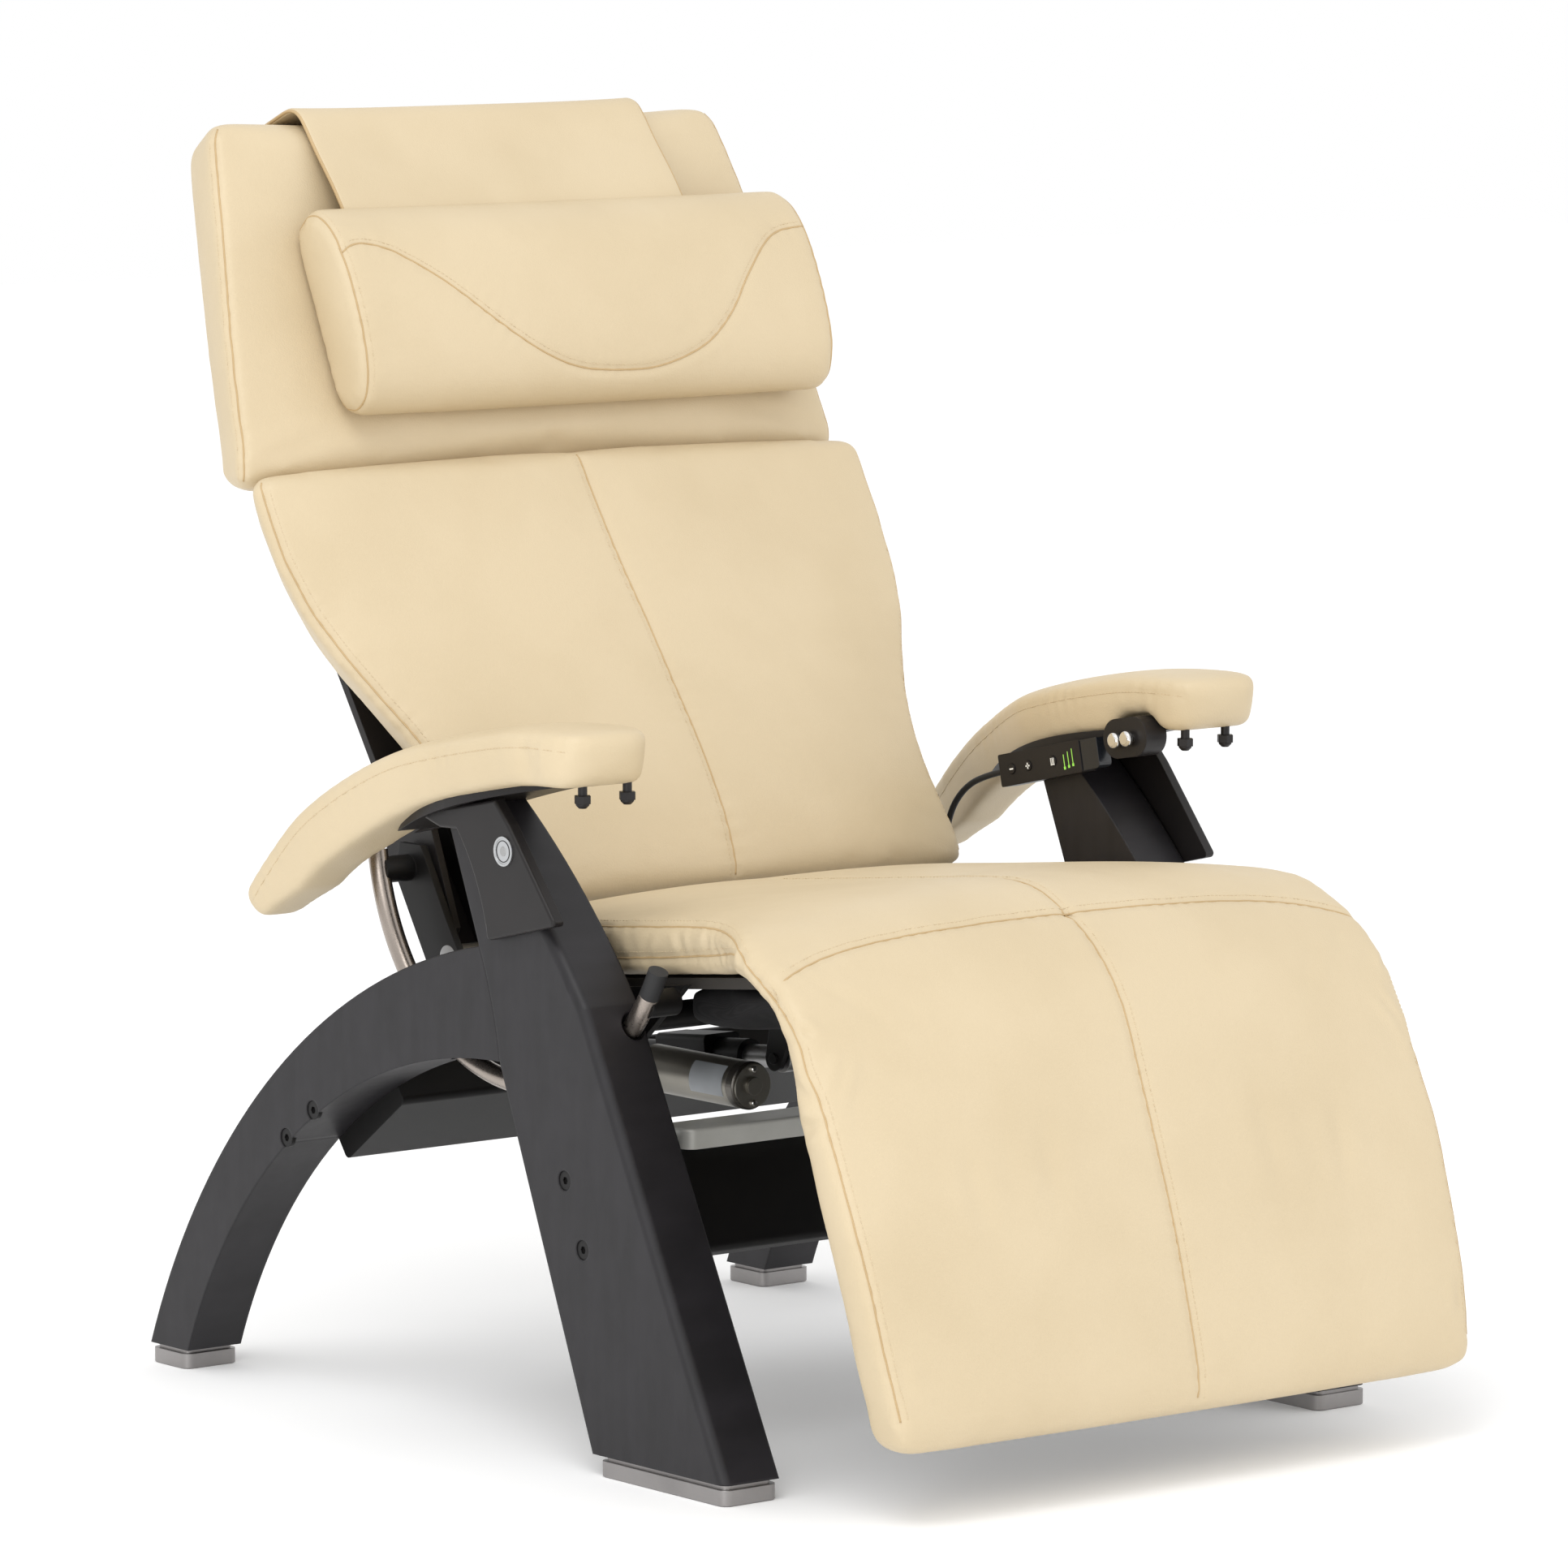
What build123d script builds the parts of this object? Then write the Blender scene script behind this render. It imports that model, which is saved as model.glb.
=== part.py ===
"""Zero-gravity recliner with heat and lumbar massage, as an assembly of separate pieces.

Frame: +X to the sitter's left, the sitter faces -Y, +Z up, millimetres, z = 0 on the floor.
Side views are drawn on planes parallel to YZ, so a side-view point is (y, z).
Pieces in pairs are drawn on the sitter's left (+X) and mirrored.
"""
from math import cos, hypot, pi, radians, sin
from build123d import *
import os

# Driving dimensions of the base
LEG_IN = 307
LEG_THICK = 59
LEG_OUT = LEG_IN + LEG_THICK
LEG_ROUND = 9
PAD_H = 18
PAD_GROOVE = 4
BOLT_HEAD_R = 8.5
BOLT_SHANK_R = 4
FRONT_BOLTS = [(-154, 250), (-179, 193)]
REAR_BOLTS = [(217, 265), (258, 235)]

# Cross beams: middle of the section, its tilt, length, thickness, and its bolts
FRONT_BEAM = ((-164, 225), 66, 108, 24, FRONT_BOLTS)
REAR_BEAM_TILT = -36
REAR_BEAM = ((214, 258), REAR_BEAM_TILT, 108, 40, REAR_BOLTS)

# Swing of the seat: two round tubes on one circle run through the legs
SWING_Y = -31
SWING_Z = 529
SWING_R = 215
TUBE_R = 9
TUBE_X = 318
TUBE_BORE_R = 7
CHANNEL_R = 12
BUSH_BORE_R = 9.4
TUBE_REAR_DEG = -8
TUBE_FRONT_DEG = -147
PLUG_END_DEG = -154

# Hinges of the back and of the leg rest, running across the chair
BACK_Y, BACK_Z = 120, 405
KNEE_Y, KNEE_Z = -352, 440
SHAFT_R = 12
KNEE_PIN_R = 6
RUNNING = 0.05
KNEE_WEDGE = 18.5

# Back and head planes: (y, z) where each front face starts, and its lean from vertical
BACK_FOOT = (61, 459)
BACK_LEAN = 33.4
HEAD_FOOT = (337, 833)
HEAD_LEAN = 23.4
BACK_THICK = 88
HEAD_THICK = 75
HEAD_LONG = 333

# Arms
PAD_IN = 291
PAN_IN, PAN_OUT = 297, 386
COVER_OUT = 377

# Controls on the left arm
BOX_MID = (-10, 548.5)
BOX_LONG, BOX_HIGH, BOX_TILT = 116, 30, 12.4
BOX_IN, BOX_DEEP = 290, 16.6
KEY_R, KEY_THICK, KEY_PROUD = 4.5, 2.4, 0.9
KEYS = {"key_minus": 40, "key_plus": 16.5, "key_heat": -19}
BUTTONS = {"button_back": (-121, 580), "button_leg": (-137.5, 583)}
BUTTON_R, BUTTON_STEM_R = 7.3, 4
SWITCH_PLACE = Location((-129.5, 583, 0), (0, 0, -10))

# Actuators: rear pivot, front pivot at rest
RECLINE_REAR, RECLINE_FRONT, RECLINE_X = (147, 304), (-135, 330), -105
LEG_REAR, LEG_FRONT, LEG_X = (-60, 340), (-372, 335), 80
PIVOT_PIN_R = 5
MOTOR_X, MOTOR_R = -164, 21

os.makedirs("parts", exist_ok=True)


def save(piece, name):
    """Label a finished piece and write it."""
    piece.label = name
    export_step(piece, f"parts/{name}.step")


def save_sides(piece, name):
    """Write the sitter's left piece as drawn, and its mirror image as the right one."""
    save(piece, f"left_{name}")
    save(piece.mirror(Plane.YZ), f"right_{name}")


def save_pair(piece, name):
    """Write a piece and its mirror image as two solids in one node."""
    save(Compound(children=piece.solids() + piece.mirror(Plane.YZ).solids()), name)


def side(x):
    """Side-view plane at x: sketch coordinates are (y, z), extrusion runs towards +X."""
    return Plane.YZ.offset(x)


def on_circle(angle, radius=SWING_R):
    """Side-view point at an angle from +Y on a circle about the swing centre."""
    a = radians(angle)
    return (SWING_Y + radius * cos(a), SWING_Z + radius * sin(a))


def lean_point(foot, lean, up, depth):
    """Side-view point: up along a leaning face from its foot, then depth behind the face."""
    a = radians(lean)
    y = foot[0] + up * sin(a) + depth * cos(a)
    z = foot[1] + up * cos(a) - depth * sin(a)
    return (y, z)


def back_point(up, depth):
    return lean_point(BACK_FOOT, BACK_LEAN, up, depth)


def head_point(up, depth):
    return lean_point(HEAD_FOOT, HEAD_LEAN, up, depth)


def ring_arc(start_deg, end_deg, outer_r, bore_r=0):
    """A stretch of round tube or rod on the swing circle, at the tube's x."""
    start = on_circle(start_deg)
    middle = on_circle((start_deg + end_deg) / 2)
    end = on_circle(end_deg)
    tangent = radians(start_deg - 90)
    with BuildPart() as arc:
        with BuildLine(side(TUBE_X)) as path:
            ThreePointArc(start, middle, end)
        with BuildSketch(Plane(origin=(TUBE_X, *start), z_dir=(0, cos(tangent), sin(tangent)))):
            Circle(outer_r)
            if bore_r:
                Circle(bore_r, mode=Mode.SUBTRACT)
        sweep(path=path.line)
    return arc.part


def front_leg():
    """Leaning front leg: nearly straight, then curving back to the arm."""
    with BuildPart() as leg:
        with BuildSketch(side(LEG_IN)):
            with BuildLine():
                Line((-375, PAD_H), (-180, 402))
                ThreePointArc((-180, 402), (-91, 504), (-22, 563))
                Line((-22, 563), (18, 563))
                Line((18, 563), (-33, 440))
                ThreePointArc((-33, 440), (-51, 392), (-62, 342))
                Line((-62, 342), (-193, PAD_H))
                Line((-193, PAD_H), (-375, PAD_H))
            make_face()
        extrude(amount=LEG_THICK)
        flat_faces = leg.faces().filter_by(GeomType.PLANE).filter_by(Axis.Z, reverse=True)
        front_plane = flat_faces.sort_by(Axis.Y)[0]
        front_curve = leg.faces().filter_by(GeomType.CYLINDER).sort_by(Axis.Y)[0]
        outer_edges = [face.edges().sort_by(Axis.X)[-1] for face in (front_plane, front_curve)]
        fillet(outer_edges, LEG_ROUND)
        add(ring_arc(-100, -160, CHANNEL_R), mode=Mode.SUBTRACT)
        add(bolt_holes(FRONT_BOLTS), mode=Mode.SUBTRACT)
    return leg.part


def rear_leg():
    """Arched rear leg, from the joint with the front leg down to its foot."""
    with BuildPart() as leg:
        with BuildSketch(side(LEG_IN)):
            with BuildLine():
                ThreePointArc((-33, 440), (259, 305), (474, PAD_H))
                Line((474, PAD_H), (415, PAD_H))
                ThreePointArc((415, PAD_H), (246, 238), (-62, 342))
                ThreePointArc((-62, 342), (-51, 392), (-33, 440))
            make_face()
        extrude(amount=LEG_THICK)
        add(ring_arc(-20, -100, CHANNEL_R), mode=Mode.SUBTRACT)
        add(bolt_holes(REAR_BOLTS), mode=Mode.SUBTRACT)
    return leg.part


def bolt_holes(bolts):
    """Holes through a leg, each with a seat for the bolt head on the outer face."""
    with BuildPart() as holes:
        with BuildSketch(side(LEG_IN)):
            with Locations(*bolts):
                Circle(BOLT_SHANK_R)
        extrude(amount=LEG_THICK)
        with BuildSketch(side(LEG_OUT - 5)):
            with Locations(*bolts):
                Circle(BOLT_HEAD_R + 0.2)
        extrude(amount=5)
    return holes.part


def foot_pad(front, rear):
    """Aluminium foot under one leg, with a groove below the wood."""
    length = rear - front
    with BuildPart() as pad:
        with BuildSketch(Plane.XY):
            with Locations((LEG_IN + LEG_THICK / 2, front + length / 2)):
                RectangleRounded(LEG_THICK, length, 9)
        extrude(amount=PAD_H - PAD_GROOVE)
        chamfer(pad.faces().sort_by(Axis.Z)[0].edges(), 1)
        with BuildSketch(Plane.XY.offset(PAD_H - PAD_GROOVE)):
            with Locations((LEG_IN + LEG_THICK / 2, front + length / 2)):
                RectangleRounded(LEG_THICK - 8, length - 8, 6)
        extrude(amount=PAD_GROOVE)
    return pad.part


def leg_bolts():
    """Socket-head bolts that hold the cross beams, on the left side."""
    with BuildPart() as bolts:
        with BuildSketch(side(LEG_OUT - 5)):
            with Locations(*FRONT_BOLTS, *REAR_BOLTS):
                Circle(BOLT_HEAD_R)
        extrude(amount=4)
        with BuildSketch(side(LEG_OUT - 3.5)):
            with Locations(*FRONT_BOLTS, *REAR_BOLTS):
                RegularPolygon(3.5, 6)
        extrude(amount=3, mode=Mode.SUBTRACT)
        with BuildSketch(side(LEG_IN - 25)):
            with Locations(*FRONT_BOLTS, *REAR_BOLTS):
                Circle(BOLT_SHANK_R - 0.1)
        extrude(amount=LEG_OUT - 5 - LEG_IN + 25)
    return bolts.part


def cross_beam(middle, tilt, long, thick, bolts):
    """Beam between the legs; its section is long along the tilt and takes the bolts' ends."""
    with BuildPart() as beam:
        with BuildSketch(side(-LEG_IN)):
            with Locations(Location((*middle, 0), (0, 0, tilt))):
                RectangleRounded(long, thick, 6)
        extrude(amount=2 * LEG_IN)
        for end in (-LEG_IN, LEG_IN - 26):
            with BuildSketch(side(end)):
                with Locations(*bolts):
                    Circle(BOLT_SHANK_R)
            extrude(amount=26, mode=Mode.SUBTRACT)
    return beam.part


def beam_trim():
    """Aluminium bar with rounded ends along the top of the front beam."""
    with BuildPart() as trim:
        with BuildSketch(Plane.XY.offset(266)):
            with Locations((0, -150)):
                RectangleRounded(490, 44, 12)
        extrude(amount=18)
        fillet(trim.faces().sort_by(Axis.Z)[-1].edges(), 3)
        add(cross_beam(*FRONT_BEAM), mode=Mode.SUBTRACT)
    return trim.part


def tower_cover():
    """Plastic cover over the outside of the leg's top, with a neck under the arm."""
    with BuildPart() as cover:
        with BuildSketch(side(LEG_OUT)):
            with BuildLine():
                Polyline((-157, 471), (-90, 552), (-70, 572), (46, 550), (10, 540), (-14, 541))
                ThreePointArc((-14, 541), (-41, 500), (-58, 448))
                Line((-58, 448), (-157, 471))
            make_face()
        extrude(amount=COVER_OUT - LEG_OUT)
        fillet(cover.edges().filter_by(Axis.X).sort_by(Axis.Z)[0:3], 4)
        fillet(cover.faces().sort_by(Axis.X)[-1].edges(), 3)
    return cover.part


def tower_badge():
    """Plain round badge with a rim."""
    with BuildPart() as badge:
        with BuildSketch(side(COVER_OUT)):
            with Locations((-84, 528.5)):
                Circle(13)
        extrude(amount=1.6)
        with BuildSketch(side(COVER_OUT + 1)):
            with Locations((-84, 528.5)):
                Circle(11)
        extrude(amount=1, mode=Mode.SUBTRACT)
    return badge.part


HAND_END = -205
ELBOW_OUT = 411


def arm_pad(notched):
    """Curved arm pad: wide at the hand; it narrows and swings outwards towards the elbow."""
    with BuildPart() as pad:
        with BuildSketch(side(PAD_IN)):
            with BuildLine():
                Spline((-192, 641), (-78, 634), (64, 603), (186, 541), (271, 457))
                Polyline((271, 457), (268, 440), (256, 433), (225, 432))
                Spline((225, 432), (163, 461), (53, 549), (-78, 585), (HAND_END, 596))
                Polyline((HAND_END, 596), (HAND_END, 632), (-192, 641))
            make_face()
        extrude(amount=ELBOW_OUT - PAD_IN)
        with BuildSketch(Plane.XY.offset(400)):
            with BuildLine():
                ThreePointArc((297, -175), (306, -196), (327, HAND_END))
                Line((327, HAND_END), (368, HAND_END))
                ThreePointArc((368, HAND_END), (389, -196), (398, -175))
                Spline((398, -175), (398, -60), (399, 50), (404, 120), (408, 190), (ELBOW_OUT, 271))
                Line((ELBOW_OUT, 271), (361, 271))
                Spline((361, 271), (349, 190), (336, 120), (313, 50), (300, -60), (297, -175))
            make_face()
        extrude(amount=300, mode=Mode.INTERSECT)
        if notched:
            with BuildSketch(side(PAD_IN - 5)):
                with Locations(SWITCH_PLACE):
                    SlotOverall(62, 38)
            extrude(amount=31, mode=Mode.SUBTRACT)
    return pad.part


def arm_pan():
    """Lens-shaped plastic pan under the arm pad, sitting on top of the leg."""
    with BuildPart() as pan:
        with BuildSketch(side(PAN_IN)):
            with BuildLine():
                Spline((-165, 592), (-78, 584), (30, 560), (108, 522))
                Spline((108, 522), (64, 535), (30, 547), (-60, 572), (-165, 592))
            make_face()
        extrude(amount=PAN_OUT - PAN_IN)
        with BuildSketch(Plane.XY.offset(480)):
            with BuildLine():
                ThreePointArc((PAN_IN + 35, -168), (PAN_IN, -20), (PAN_IN + 45, 134))
                ThreePointArc((PAN_IN + 45, 134), (PAN_OUT, -10), (PAN_IN + 35, -168))
            make_face()
        extrude(amount=150, mode=Mode.INTERSECT)
        add(front_leg(), mode=Mode.SUBTRACT)
        add(tower_cover(), mode=Mode.SUBTRACT)
        add(arm_pad(False), mode=Mode.SUBTRACT)
    return pan.part


def arm_pans():
    """Both pans in one node; the left one is cut away around the controls."""
    with BuildPart() as left:
        add(arm_pan())
        add(switch_housing(), mode=Mode.SUBTRACT)
        add(control_box(), mode=Mode.SUBTRACT)
        add(control_box_cap(), mode=Mode.SUBTRACT)
    return Compound(children=left.part.solids() + arm_pan().mirror(Plane.YZ).solids())


def arm_knobs():
    """Two hexagonal screw knobs under the hand end of the pad."""
    with BuildPart() as knobs:
        with BuildSketch(Plane.XY.offset(585)):
            with Locations((317, -180), (365, -180)):
                Circle(4)
        extrude(amount=9)
        with BuildSketch(Plane.XY.offset(578)):
            with Locations((317, -180), (365, -180)):
                RegularPolygon(7.5, 6)
        extrude(amount=7)
    return knobs.part


def switch_housing():
    """Rounded plate and block that hold the two recline buttons, inside the left arm."""
    with BuildPart() as housing:
        with BuildSketch(side(PAD_IN - 2)):
            with Locations(SWITCH_PLACE):
                SlotOverall(60, 36)
        extrude(amount=24)
        for spot in BUTTONS.values():
            with BuildSketch(side(PAD_IN - 2)):
                with Locations(spot):
                    Circle(BUTTON_STEM_R + 0.3)
            extrude(amount=15, mode=Mode.SUBTRACT)
        add(control_box_cap(), mode=Mode.SUBTRACT)
    return housing.part


def button(spot):
    """Domed push button; it stands off the plate by more than its travel."""
    with BuildPart() as knob:
        with BuildSketch(side(PAD_IN - 2 - 9)):
            with Locations(spot):
                Circle(BUTTON_R)
        extrude(amount=5.5)
        fillet(knob.faces().sort_by(Axis.X)[0].edges(), 3)
        with BuildSketch(side(PAD_IN - 2 - 3.5)):
            with Locations(spot):
                Circle(BUTTON_STEM_R)
        extrude(amount=14)
    return knob.part


def box_spot(along, up=0):
    """Side-view point in the control box's own tilted frame."""
    a = radians(-BOX_TILT)
    y = BOX_MID[0] + along * cos(a) - up * sin(a)
    z = BOX_MID[1] + along * sin(a) + up * cos(a)
    return (y, z)


def control_box():
    """Keypad box under the left arm, with a pocket for each key."""
    with BuildPart() as box:
        with BuildSketch(side(BOX_IN)):
            with Locations(Location((*BOX_MID, 0), (0, 0, -BOX_TILT))):
                RectangleRounded(BOX_LONG, BOX_HIGH, 2)
        extrude(amount=BOX_DEEP)
        for along in KEYS.values():
            with BuildSketch(side(BOX_IN)):
                with Locations(box_spot(along)):
                    Circle(KEY_R + 0.3)
            extrude(amount=KEY_THICK, mode=Mode.SUBTRACT)
    return box.part


def control_box_cap():
    """Rounded end cap on the front of the control box."""
    with BuildPart() as cap:
        with BuildSketch(side(BOX_IN + 1)):
            with Locations(Location((*box_spot(-BOX_LONG / 2 - 12), 0), (0, 0, -BOX_TILT))):
                Rectangle(24, BOX_HIGH - 2)
        extrude(amount=BOX_DEEP - 2)
        fillet(cap.edges().group_by(Axis.Y)[0], 5)
    return cap.part


def key(along):
    """Round key, standing slightly proud of the box."""
    with BuildPart() as cap:
        with BuildSketch(side(BOX_IN - KEY_PROUD)):
            with Locations(box_spot(along)):
                Circle(KEY_R)
        extrude(amount=KEY_THICK)
    return cap.part


CABLE_R = 3
CABLE_ROUTE = [
    (300, 46.7, 536),
    (300, 70.1, 530.9),
    (299, 106, 517),
    (299, 131, 488),
    (299, 138, 440),
    (298, 128, 395),
    (297, 135, 356),
    (284, 160, 336),
    (262, 183, 323.9),
    (262, 211, 303.5),
]


def control_cable():
    """Lead from the control box to the power supply: straight runs joined by arcs."""
    points = [Vector(*spot) for spot in CABLE_ROUTE]
    radii = []
    for before, here, after in zip(points, points[1:], points[2:]):
        turn = (here - before).get_angle(after - here)
        shorter = min((here - before).length, (after - here).length)
        radii.append(0.45 * shorter / sin(radians(turn / 2)) * cos(radians(turn / 2)))
    print("cable arc radii", [round(radius) for radius in radii])
    with BuildPart() as cable:
        with BuildLine() as path:
            FilletPolyline(*points, radius=radii)
        with BuildSketch(Plane(origin=points[0], z_dir=points[1] - points[0])):
            Circle(CABLE_R)
        sweep(path=path.line)
    length = sum(edge.length for edge in path.edges())
    section = pi * CABLE_R**2
    print("cable length", round(length, 1), "volume ratio", cable.part.volume / section / length)
    return cable.part


def tube_bushes():
    """Plastic guide bushes where the swing tube enters and leaves the wood."""
    bushes = []
    for start, end in ((-127, -133.5), (-49.5, -56)):
        bushes.append(ring_arc(start, end, CHANNEL_R, BUSH_BORE_R))
    return Compound(children=bushes)


def lug(x, thick, spot, radius, root, root_radius):
    """Flat lug: a round eye at spot, drawn out to a root, with a hole for a pivot pin."""
    with BuildPart() as eye:
        with BuildSketch(side(x - thick / 2)):
            with Locations(spot):
                Circle(radius)
            with Locations(root):
                Circle(root_radius)
            make_hull()
            with Locations(spot):
                Circle(PIVOT_PIN_R + RUNNING, mode=Mode.SUBTRACT)
        extrude(amount=thick)
    return eye.part


def actuator_bracket():
    """Two lugs on the rear beam that hold the recline actuator's rear pin."""
    beam = cross_beam(*REAR_BEAM)
    with BuildPart() as bracket:
        for x in (RECLINE_X - 20, RECLINE_X + 20):
            add(lug(x, 6, RECLINE_REAR, 12, (176, 284), 16))
        with BuildSketch(side(RECLINE_X - 23)):
            with Locations(Location((*lean_point((164, 275), 54, 4, 0), 0), (0, 0, REAR_BEAM_TILT))):
                Rectangle(6, 36)
        extrude(amount=46)
        add(beam, mode=Mode.SUBTRACT)
        with BuildSketch(side(RECLINE_X - 25)):
            with Locations(RECLINE_REAR):
                Circle(PIVOT_PIN_R)
        extrude(amount=50)
    return bracket.part


POWER_X, POWER_WIDE = 190, 95
POWER_ALONG, POWER_UP = 8, 35


def power_supply():
    """Power box on top of the rear beam, with a mains inlet socket in its inner end."""
    turn = radians(REAR_BEAM_TILT)
    beam_y, beam_z = REAR_BEAM[0]
    middle_y = beam_y + POWER_ALONG * cos(turn) - POWER_UP * sin(turn)
    middle_z = beam_z + POWER_ALONG * sin(turn) + POWER_UP * cos(turn)
    place = Location((middle_y, middle_z, 0), (0, 0, REAR_BEAM_TILT))
    with BuildPart() as box:
        with BuildSketch(side(POWER_X)):
            with Locations(place):
                RectangleRounded(74, 30, 4)
        extrude(amount=POWER_WIDE)
        with BuildSketch(side(POWER_X)):
            with Locations(place):
                RectangleRounded(26, 18, 3)
        extrude(amount=14, mode=Mode.SUBTRACT)
        with BuildSketch(side(POWER_X + 14)):
            with Locations(place):
                with GridLocations(9, 0, 2, 1):
                    Rectangle(4, 2)
        extrude(amount=-10)
    return box.part


def side_plate():
    """Steel plate beside the seat; arms at both ends reach out to the swing tube."""
    with BuildPart() as plate:
        with BuildSketch(side(280)):
            with BuildLine():
                Polyline((-222, 420), (-198, 398), (-150, 356), (-60, 342), (90, 372), (150, 396),
                         (196, 470), (192, 502), (160, 502), (124, 442), (92, 394), (50, 384), (-222, 420))
            make_face()
        extrude(amount=7)
        with BuildSketch(side(287)):
            with Locations(on_circle(-13), on_circle(-144.5)):
                Circle(12)
        extrude(amount=TUBE_X - 287)
        add(ring_arc(0, -179, TUBE_R), mode=Mode.SUBTRACT)
        with BuildSketch(side(280)):
            with Locations((BACK_Y, BACK_Z)):
                Circle(SHAFT_R + RUNNING)
        extrude(amount=7, mode=Mode.SUBTRACT)
    return plate.part


def bar(spot, radius, half_width):
    """Round bar across the chair."""
    with BuildPart() as rod:
        with BuildSketch(side(-half_width)):
            with Locations(spot):
                Circle(radius)
        extrude(amount=2 * half_width)
    return rod.part


SEAT_TUBE = (-150, 382)
SEAT_TOP = [(57, 459), (-300, 498)]


def seat_lugs():
    """Lugs under the seat: one pair pushes on the recline rod, one holds the leg actuator."""
    with BuildPart() as lugs:
        for x in (RECLINE_X - 14, RECLINE_X + 14):
            add(lug(x, 5, RECLINE_FRONT, 11, (-150, 374), 17))
        with BuildSketch(side(RECLINE_X - 18)):
            with Locations(RECLINE_FRONT):
                Circle(PIVOT_PIN_R)
        extrude(amount=36)
        for x in (LEG_X - 21, LEG_X + 21):
            add(lug(x, 5, LEG_REAR, 11, (-60, 384), 14))
        with BuildSketch(side(LEG_X - 25)):
            with Locations(LEG_REAR):
                Circle(PIVOT_PIN_R)
        extrude(amount=50)
        with BuildSketch(side(LEG_X - 24)):
            with Locations((-60, 384)):
                Rectangle(30, 5)
        extrude(amount=48)
        add(bar(SEAT_TUBE, SHAFT_R, 280), mode=Mode.SUBTRACT)
        add(seat_pan(), mode=Mode.SUBTRACT)
    return lugs.part


def seat_width():
    """Outline of the seat from above: narrow between the legs, wider at the knee."""
    with BuildSketch(Plane.XY.offset(380)) as outline:
        with BuildLine():
            Polyline((-292, 70), (-292, -225))
            Spline((-292, -225), (-300, -262), (-328, -330), (-330, -460), tangents=((0, -1), (0, -1)))
            Line((-330, -460), (330, -460))
            Spline((330, -460), (328, -330), (300, -262), (292, -225), tangents=((0, 1), (0, 1)))
            Polyline((292, -225), (292, 70), (-292, 70))
        make_face()
    return outline.sketch


def seat_cushion():
    """Seat pad; its front end is cut back so that the knee can straighten."""
    cut = radians(135.8 - KNEE_WEDGE)
    with BuildPart() as cushion:
        with BuildSketch(side(-340)):
            with BuildLine():
                Line(*SEAT_TOP)
                ThreePointArc((-300, 498), (-338, 497), (-374.5, 484))
                Line((-374.5, 484), (KNEE_Y + 16 * cos(cut), KNEE_Z + 16 * sin(cut)))
                Line((KNEE_Y + 16 * cos(cut), KNEE_Z + 16 * sin(cut)), (-338, 450))
                Polyline((-338, 450), (-336, 437), (57, 394), (57, 459))
            make_face()
        extrude(amount=680)
        extrude(seat_width(), amount=140, mode=Mode.INTERSECT)
        fillet(cushion.edges().group_by(Axis.Y)[-1].filter_by(Axis.Z), 18)
    return cushion.part


def seat_pan():
    """Board under the seat pad."""
    with BuildPart() as pan:
        with BuildSketch(side(-262)):
            with BuildLine():
                Polyline((-330, 435.8), (50, 394.3), (50, 384.3), (-330, 425.8), (-330, 435.8))
            make_face()
        extrude(amount=524)
    return pan.part


def under_seat_cover():
    """Black cloth cover under the front of the seat."""
    with BuildPart() as cover:
        with BuildSketch(side(-255)):
            with BuildLine():
                Polyline((-322, 424), (-176, 408), (-176, 378), (-240, 380), (-322, 408), (-322, 424))
            make_face()
        extrude(amount=510)
        fillet(cover.edges().filter_by(Axis.X).group_by(Axis.Z)[0], 10)
    return cover.part


def air_pump():
    """Small pump for the lumbar bladder, screwed under the seat board."""
    with BuildPart() as pump:
        with BuildSketch(side(165)):
            with Locations(Location((-10, 377.5, 0), (0, 0, -6.2))):
                RectangleRounded(90, 26, 4)
        extrude(amount=70)
        add(seat_pan(), mode=Mode.SUBTRACT)
    return pump.part


def knee_pins():
    """Two pins that the leg rest turns on, held in cheeks under the seat's front edge."""
    with BuildPart() as pin:
        with BuildSketch(side(222)):
            with Locations((KNEE_Y, KNEE_Z)):
                Circle(KNEE_PIN_R)
        extrude(amount=36)
        with BuildSketch(side(222)):
            with Locations((KNEE_Y, KNEE_Z)):
                Circle(11)
            with Locations((-325, 416)):
                Circle(9)
            make_hull()
        extrude(amount=6)
        add(seat_pan(), mode=Mode.SUBTRACT)
        add(seat_cushion(), mode=Mode.SUBTRACT)
        add(under_seat_cover(), mode=Mode.SUBTRACT)
    return pin.part


def leg_width():
    """Outline of the leg rest from the front."""
    with BuildSketch(Plane.XZ.offset(340)) as outline:
        with BuildLine():
            Polyline((-318, 40), (318, 40))
            Spline((318, 40), (338, 240), (336, 400), (330, 520))
            Line((330, 520), (-330, 520))
            Spline((-330, 520), (-336, 400), (-338, 240), (-318, 40))
        make_face()
    return outline.sketch


def leg_cushion():
    """Leg-rest pad: it bends over the knee and runs down to the heels."""
    cut = radians(135.8 + KNEE_WEDGE)
    with BuildPart() as cushion:
        with BuildSketch(side(-345)):
            with BuildLine():
                Line((KNEE_Y + 14 * cos(cut), KNEE_Z + 14 * sin(cut)), (-407, 466.5))
                ThreePointArc((-407, 466.5), (-454, 422), (-480, 362))
                ThreePointArc((-480, 362), (-524, 249), (-563, 104))
                ThreePointArc((-563, 104), (-566, 72), (-545, 58))
                Line((-545, 58), (-505, 72))
                ThreePointArc((-505, 72), (-464, 222), (-424, 325))
                Line((-424, 325), (-376, 420))
                Line((-376, 420), (KNEE_Y + 14 * cos(cut), KNEE_Z + 14 * sin(cut)))
            make_face()
        extrude(amount=690)
        extrude(leg_width(), amount=260, mode=Mode.INTERSECT)
    return cushion.part


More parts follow.
